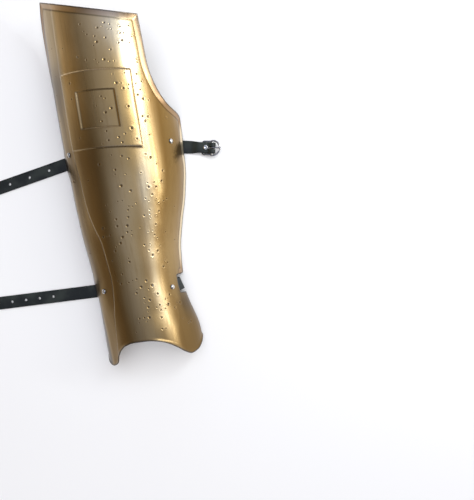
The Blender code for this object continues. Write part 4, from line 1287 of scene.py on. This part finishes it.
def chape_rivet_mesh(name):
    """A low cap with a dimpled middle over the strap's fold, and its washer beneath."""
    top = STRAP_THICK / 2 + FIT_GAP
    low = -FOLD_RADIUS - STRAP_THICK / 2 - FIT_GAP
    radius = CHAPE_DOME_RADIUS
    height = CHAPE_DOME_HEIGHT
    profile = [(0.0, top + 0.62 * height)]
    for share, rise in ((0.22, 0.64), (0.36, 0.80), (0.52, 1.00), (0.66, 0.98),
                        (0.80, 0.84), (0.92, 0.58), (1.0, 0.25)):
        profile.append((radius * share, top + height * rise))
    profile += [(radius, top), (SHANK_RADIUS, top), (SHANK_RADIUS, low), (BURR_RADIUS, low),
                (BURR_RADIUS, low - BURR_THICK), (0.0, low - BURR_THICK)]
    return turned(name, profile, 32)


def add_metal(name, make, matrix, nickel, body, replaced):
    """Make a metal piece at the origin and add it in its place."""
    mesh = make(name)
    mesh.transform(matrix)
    add_piece(name, dressed(mesh, nickel, METAL_SHARP), body, replaced)


def make_fittings(shift, leather, nickel):
    """Straps, rivets, frames and prongs, each in place of its CAD node."""
    home = Matrix.Translation(shift)
    for name, free, holes in (("calf_tongue", CALF_TONGUE_FREE, CALF_HOLES),
                              ("ankle_tongue", ANKLE_TONGUE_FREE, ANKLE_HOLES)):
        mesh = tongue_strap(name, free, holes, leather)
        mesh.transform(home)
        add_piece(name + "_leather", mesh, "greave", name + "_strap")
    for name, layout in (("calf_buckle", spread_layout), ("ankle_buckle", tucked_layout)):
        stops, bar, e_a, e_b, start_height = layout(name)
        mesh = buckle_strap(name, stops, bar, e_a, e_b, start_height, leather)
        mesh.transform(home)
        add_piece(name + "_leather", mesh, "greave", name + "_strap")
        frame = home @ basis(bar, e_a, np.cross(e_b, e_a), e_b)
        tilted = frame @ Matrix.Rotation(-FRAME_TILT, 4, "Y")
        part = name.split("_")[0]
        add_metal(name + "_wire", frame_mesh, tilted, nickel, name, name + "_frame")
        add_metal(name + "_tongue", prong_mesh, tilted, nickel, part + "_prong", name + "_prong")
        back = frame @ Matrix.Translation((-CHAPE_RIVET_BACK, 0.0, 0.0))
        add_metal(part + "_chape_cap", chape_rivet_mesh, back, nickel, "greave", part + "_chape_rivet")
    for name in STRAPS:
        s, y = strap_seat(name)
        place = home @ facing(surface(s, y), sheet_normal(s, y), (0.0, 1.0, 0.0))
        add_metal(name + "_dome", strap_rivet_mesh, place, nickel, "greave", name + "_rivet")


# materials

class Nodes:
    """The node tree of a material or a world, with short calls to add and join nodes."""

    def __init__(self, owner, shader="Principled BSDF"):
        owner.use_nodes = True
        self.owner = owner
        self.tree = owner.node_tree
        self.shader = self.tree.nodes[shader]

    def add(self, kind, **settings):
        made = self.tree.nodes.new(kind)
        for key, value in settings.items():
            setattr(made, key, value)
        return made

    def join(self, source, target):
        self.tree.links.new(source, target)

    def fill(self, socket, value):
        if isinstance(value, bpy.types.NodeSocket):
            self.join(value, socket)
        else:
            socket.default_value = value

    def noise(self, scale, stretch=(1.0, 1.0, 1.0), detail=3.0, roughness=0.5):
        """Noise over the object, stretched along its axes."""
        place = self.add("ShaderNodeTexCoord").outputs["Object"]
        mapping = self.add("ShaderNodeMapping")
        mapping.inputs["Scale"].default_value = stretch
        self.join(place, mapping.inputs["Vector"])
        made = self.add("ShaderNodeTexNoise")
        self.join(mapping.outputs["Vector"], made.inputs["Vector"])
        made.inputs["Scale"].default_value = scale
        made.inputs["Detail"].default_value = detail
        made.inputs["Roughness"].default_value = roughness
        return made.outputs["Fac"]

    def attribute(self, name):
        return self.add("ShaderNodeAttribute", attribute_name=name).outputs["Fac"]

    def spread(self, value, low, high, to_low=0.0, to_high=1.0):
        """A value taken from one range to another, and held within it."""
        made = self.add("ShaderNodeMapRange", interpolation_type="SMOOTHSTEP")
        for key, number in (("Value", value), ("From Min", low), ("From Max", high),
                            ("To Min", to_low), ("To Max", to_high)):
            self.fill(made.inputs[key], number)
        return made.outputs["Result"]

    def blend(self, share, first, second, kind="MIX"):
        made = self.add("ShaderNodeMix", data_type="RGBA", blend_type=kind)
        self.fill(made.inputs["Factor"], share)
        for key, color in (("A", first), ("B", second)):
            socket = [s for s in made.inputs if s.name == key and s.type == "RGBA"][0]
            self.fill(socket, color)
        return [s for s in made.outputs if s.type == "RGBA"][0]

    def sums(self, operation, first, second):
        made = self.add("ShaderNodeMath", operation=operation)
        self.fill(made.inputs[0], first)
        self.fill(made.inputs[1], second)
        return made.outputs["Value"]

    def bump(self, height, distance, strength, below=None):
        made = self.add("ShaderNodeBump")
        made.inputs["Distance"].default_value = distance
        made.inputs["Strength"].default_value = strength
        self.join(height, made.inputs["Height"])
        if below:
            self.join(below, made.inputs["Normal"])
        return made.outputs["Normal"]


def color(red, green, blue):
    return (red, green, blue, 1.0)


def brass_material():
    """Antiqued sheet: lengthwise polish, clouds of tone, dark tarnish in the hollows with painted shade on
    the crease step, painted reflections, shade and a painted highlight from the vertex shares, and a dark
    greyish steel rim widened into a painted shadow outline.
    """
    nodes = Nodes(bpy.data.materials.new("antique_brass"))
    cloud = nodes.noise(16.0, (1.0, 0.45, 1.0), 4.0, 0.55)
    streak = nodes.noise(260.0, (1.0, 0.022, 1.0), 5.0, 0.62)
    fine = nodes.noise(1500.0, (1.0, 0.012, 1.0), 2.0, 0.5)
    speck = nodes.noise(420.0, (1.0, 1.0, 1.0), 2.0, 0.6)
    tone = nodes.blend(nodes.spread(cloud, 0.36, 0.64), color(0.60, 0.40, 0.16), color(0.76, 0.55, 0.27))
    tone = nodes.blend(nodes.spread(streak, 0.50, 0.74, 0.0, 0.35), tone, color(0.42, 0.27, 0.11))
    tone = nodes.blend(nodes.spread(speck, 0.68, 0.80, 0.0, 0.30), tone, color(0.25, 0.16, 0.07))
    uneven = nodes.spread(cloud, 0.30, 0.62, 0.80, 1.0)
    # vertex shares: the shin's darker tone with painted shade, painted warm and greyer reflections at the
    # sides, painted shade, and a painted highlight
    for name, tint_and_painted_light in (("painted_amber_reflection", color(0.33, 0.20, 0.060)), ("brown_tone_and_painted_shade", color(0.19, 0.120, 0.047)),
                        ("painted_grey_reflection", color(0.18, 0.157, 0.133)), ("shade", color(0.09, 0.06, 0.03)),
                        ("painted_highlight", color(0.92, 0.83, 0.62))):
        tone = nodes.blend(nodes.sums("MULTIPLY", nodes.attribute(name), uneven), tone, tint_and_painted_light)
    tone = nodes.blend(nodes.sums("MULTIPLY", nodes.attribute("lip"), 0.55), tone, color(0.50, 0.33, 0.22))
    # wear with painted sheen, tarnish with painted shade, the underside's tone, and the dark rim with its
    # painted shadow outline
    for name, low, high, most, tint in (
            ("wear_and_painted_sheen", 0.1, 1.0, 0.85, (0.95, 0.82, 0.58)), ("tarnish_and_painted_shade", 0.1, 1.0, 0.92, (0.10, 0.06, 0.025)),
            ("inside", 0.55, 0.95, 0.75, (0.30, 0.21, 0.11)), ("rim", 0.15, 0.9, 0.85, (0.10, 0.095, 0.085))):
        share = nodes.spread(nodes.attribute(name), low, high, 0.0, most)
        tone = nodes.blend(share, tone, color(*tint))
    nodes.join(tone, nodes.shader.inputs["Base Color"])
    nodes.shader.inputs["Metallic"].default_value = 1.0
    rough = nodes.spread(streak, 0.3, 0.7, 0.25, 0.36)
    rough = nodes.sums("ADD", rough, nodes.spread(cloud, 0.35, 0.65, 0.0, 0.06))
    rough = nodes.sums("ADD", rough, nodes.spread(nodes.attribute("inside"), 0.5, 1.0, 0.0, 0.16))
    nodes.join(rough, nodes.shader.inputs["Roughness"])
    relief = nodes.bump(streak, 0.00005, 0.5)
    relief = nodes.bump(fine, 0.00002, 0.35, relief)
    nodes.join(relief, nodes.shader.inputs["Normal"])
    return nodes.owner


def leather_material():
    """Black strap leather: fine grain, a little sheen, and a tone that wears unevenly along its length."""
    nodes = Nodes(bpy.data.materials.new("black_leather"))
    grain = nodes.add("ShaderNodeTexVoronoi", feature="SMOOTH_F1")
    grain.inputs["Scale"].default_value = 1150.0
    grain.inputs["Smoothness"].default_value = 0.6
    nodes.join(nodes.add("ShaderNodeTexCoord").outputs["Object"], grain.inputs["Vector"])
    crease = nodes.noise(260.0, (1.0, 1.0, 1.0), 4.0, 0.6)
    wear = nodes.noise(60.0, (1.0, 1.0, 1.0), 3.0, 0.5)
    tone = nodes.blend(nodes.spread(wear, 0.35, 0.7), color(0.007, 0.009, 0.008), color(0.022, 0.028, 0.024))
    share = nodes.spread(grain.outputs["Distance"], 0.0, 0.5, 0.25, 0.0)
    tone = nodes.blend(share, tone, color(0.036, 0.044, 0.038))
    nodes.join(tone, nodes.shader.inputs["Base Color"])
    nodes.join(nodes.spread(wear, 0.3, 0.7, 0.38, 0.52), nodes.shader.inputs["Roughness"])
    nodes.shader.inputs["Specular IOR Level"].default_value = 0.36
    relief = nodes.bump(grain.outputs["Distance"], 0.00012, 0.5)
    relief = nodes.bump(crease, 0.00020, 0.35, relief)
    nodes.join(relief, nodes.shader.inputs["Normal"])
    return nodes.owner


def nickel_material():
    """Plated wire and rivets: bright, with faint handling marks."""
    nodes = Nodes(bpy.data.materials.new("nickel"))
    marks = nodes.noise(900.0, (1.0, 0.3, 1.0), 3.0, 0.6)
    dull = nodes.noise(200.0, (1.0, 1.0, 1.0), 2.0, 0.5)
    share = nodes.spread(dull, 0.4, 0.7, 0.0, 0.6)
    tone = nodes.blend(share, color(0.74, 0.73, 0.70), color(0.50, 0.49, 0.46))
    nodes.join(tone, nodes.shader.inputs["Base Color"])
    nodes.shader.inputs["Metallic"].default_value = 1.0
    nodes.join(nodes.spread(dull, 0.35, 0.7, 0.16, 0.30), nodes.shader.inputs["Roughness"])
    nodes.join(nodes.bump(marks, 0.00003, 0.3), nodes.shader.inputs["Normal"])
    return nodes.owner


# the set

def make_floor():
    mesh = bpy.data.meshes.new("floor")
    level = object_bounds()[0][2]
    corners = [(a * FLOOR_HALF, b * FLOOR_HALF, level) for a, b in ((-1, -1), (1, -1), (1, 1), (-1, 1))]
    mesh.from_pydata(corners, [], [(0, 1, 2, 3)])
    floor = bpy.data.objects.new("floor", mesh)
    bpy.context.scene.collection.objects.link(floor)
    nodes = Nodes(bpy.data.materials.new("pale_floor"))
    nodes.shader.inputs["Base Color"].default_value = color(*FLOOR_TONE)
    nodes.shader.inputs["Roughness"].default_value = 0.75
    mesh.materials.append(nodes.owner)


def make_light(name, place, target, along, size, power, tint):
    """A soft rectangular light aimed at a point, its long side along a given direction."""
    data = bpy.data.lights.new(name, "AREA")
    data.shape = "RECTANGLE"
    data.size, data.size_y = size
    data.energy = power
    data.color = tint
    light = bpy.data.objects.new(name, data)
    bpy.context.scene.collection.objects.link(light)
    z_axis = (Vector(place) - Vector(target)).normalized()
    x_axis = Vector(along).cross(z_axis).normalized()
    y_axis = z_axis.cross(x_axis)
    light.matrix_world = basis(place, x_axis, y_axis, z_axis)


def make_world():
    """A room seen in the metal, cool above and warm at the sides; the camera sees a backdrop."""
    world = bpy.data.worlds.new("room")
    bpy.context.scene.world = world
    nodes = Nodes(world, "Background")
    split = nodes.add("ShaderNodeSeparateXYZ")
    nodes.join(nodes.add("ShaderNodeTexCoord").outputs["Generated"], split.inputs["Vector"])
    tones = []
    for axis, rows in (("X", ROOM_ACROSS), ("Y", ROOM_ALONG)):
        share = nodes.add("ShaderNodeMapRange")
        share.inputs["From Min"].default_value = -1.0
        nodes.join(split.outputs[axis], share.inputs["Value"])
        ramp = nodes.add("ShaderNodeValToRGB")
        elements = ramp.color_ramp.elements
        for i, (at, tone) in enumerate(rows):
            element = elements[i] if i < 2 else elements.new(1.0)
            element.position = (at + 1.0) / 2.0
            element.color = color(*tone)
        nodes.join(share.outputs["Result"], ramp.inputs["Fac"])
        tones.append(ramp.outputs["Color"])
    room = nodes.blend(1.0, *tones, kind="MULTIPLY")
    seen = nodes.add("ShaderNodeLightPath").outputs["Is Camera Ray"]
    nodes.join(nodes.blend(seen, room, color(*BACKDROP)), nodes.shader.inputs["Color"])


def make_camera():
    low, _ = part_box("shin_plate")
    data = bpy.data.cameras.new("camera")
    data.sensor_fit = "VERTICAL"
    data.sensor_height = SENSOR
    data.lens = data.sensor_height * CAMERA_HEIGHT / PHOTO_HEIGHT
    camera = bpy.data.objects.new("camera", data)
    bpy.context.scene.collection.objects.link(camera)
    up = Vector((math.sin(PHOTO_TURN), math.cos(PHOTO_TURN), 0.0))
    z_axis = Vector((0.0, 0.0, 1.0))
    place = (low.x + CAMERA_FROM_PLATE[0], low.y + CAMERA_FROM_PLATE[1], CAMERA_HEIGHT)
    camera.matrix_world = basis(place, up.cross(z_axis), up, z_axis)
    bpy.context.scene.camera = camera


def make_set():
    make_camera()
    make_floor()
    make_world()
    low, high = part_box("shin_plate")
    middle = (low + high) / 2
    middle.z = LIGHT_HEIGHT
    for name, turn, along, reach, run, size, power in KEYS:
        turn = math.radians(turn)
        place = middle + Vector((reach * math.sin(turn), along, reach * math.cos(turn)))
        make_light(name, place, middle + Vector((0.0, along, 0.0)), run, size, power, KEY_TINT)
    data = bpy.data.lights.new("floor_fill", "SUN")
    data.energy = FILL_ENERGY
    data.angle = FILL_ANGLE
    data.color = FILL_TINT
    fill = bpy.data.objects.new("floor_fill", data)
    fill.visible_glossy = False
    bpy.context.scene.collection.objects.link(fill)
    bpy.context.scene.view_settings.view_transform = "Standard"


def main():
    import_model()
    make_set()
    brass = brass_material()
    leather = leather_material()
    nickel = nickel_material()
    plate = make_plate(brass)
    shift = place_of_plate(plate)
    plate.transform(Matrix.Translation(shift))
    add_piece("shin_plate_sheet", plate, "greave", "shin_plate")
    make_fittings(shift, leather, nickel)
    bpy.context.view_layer.update()


main()
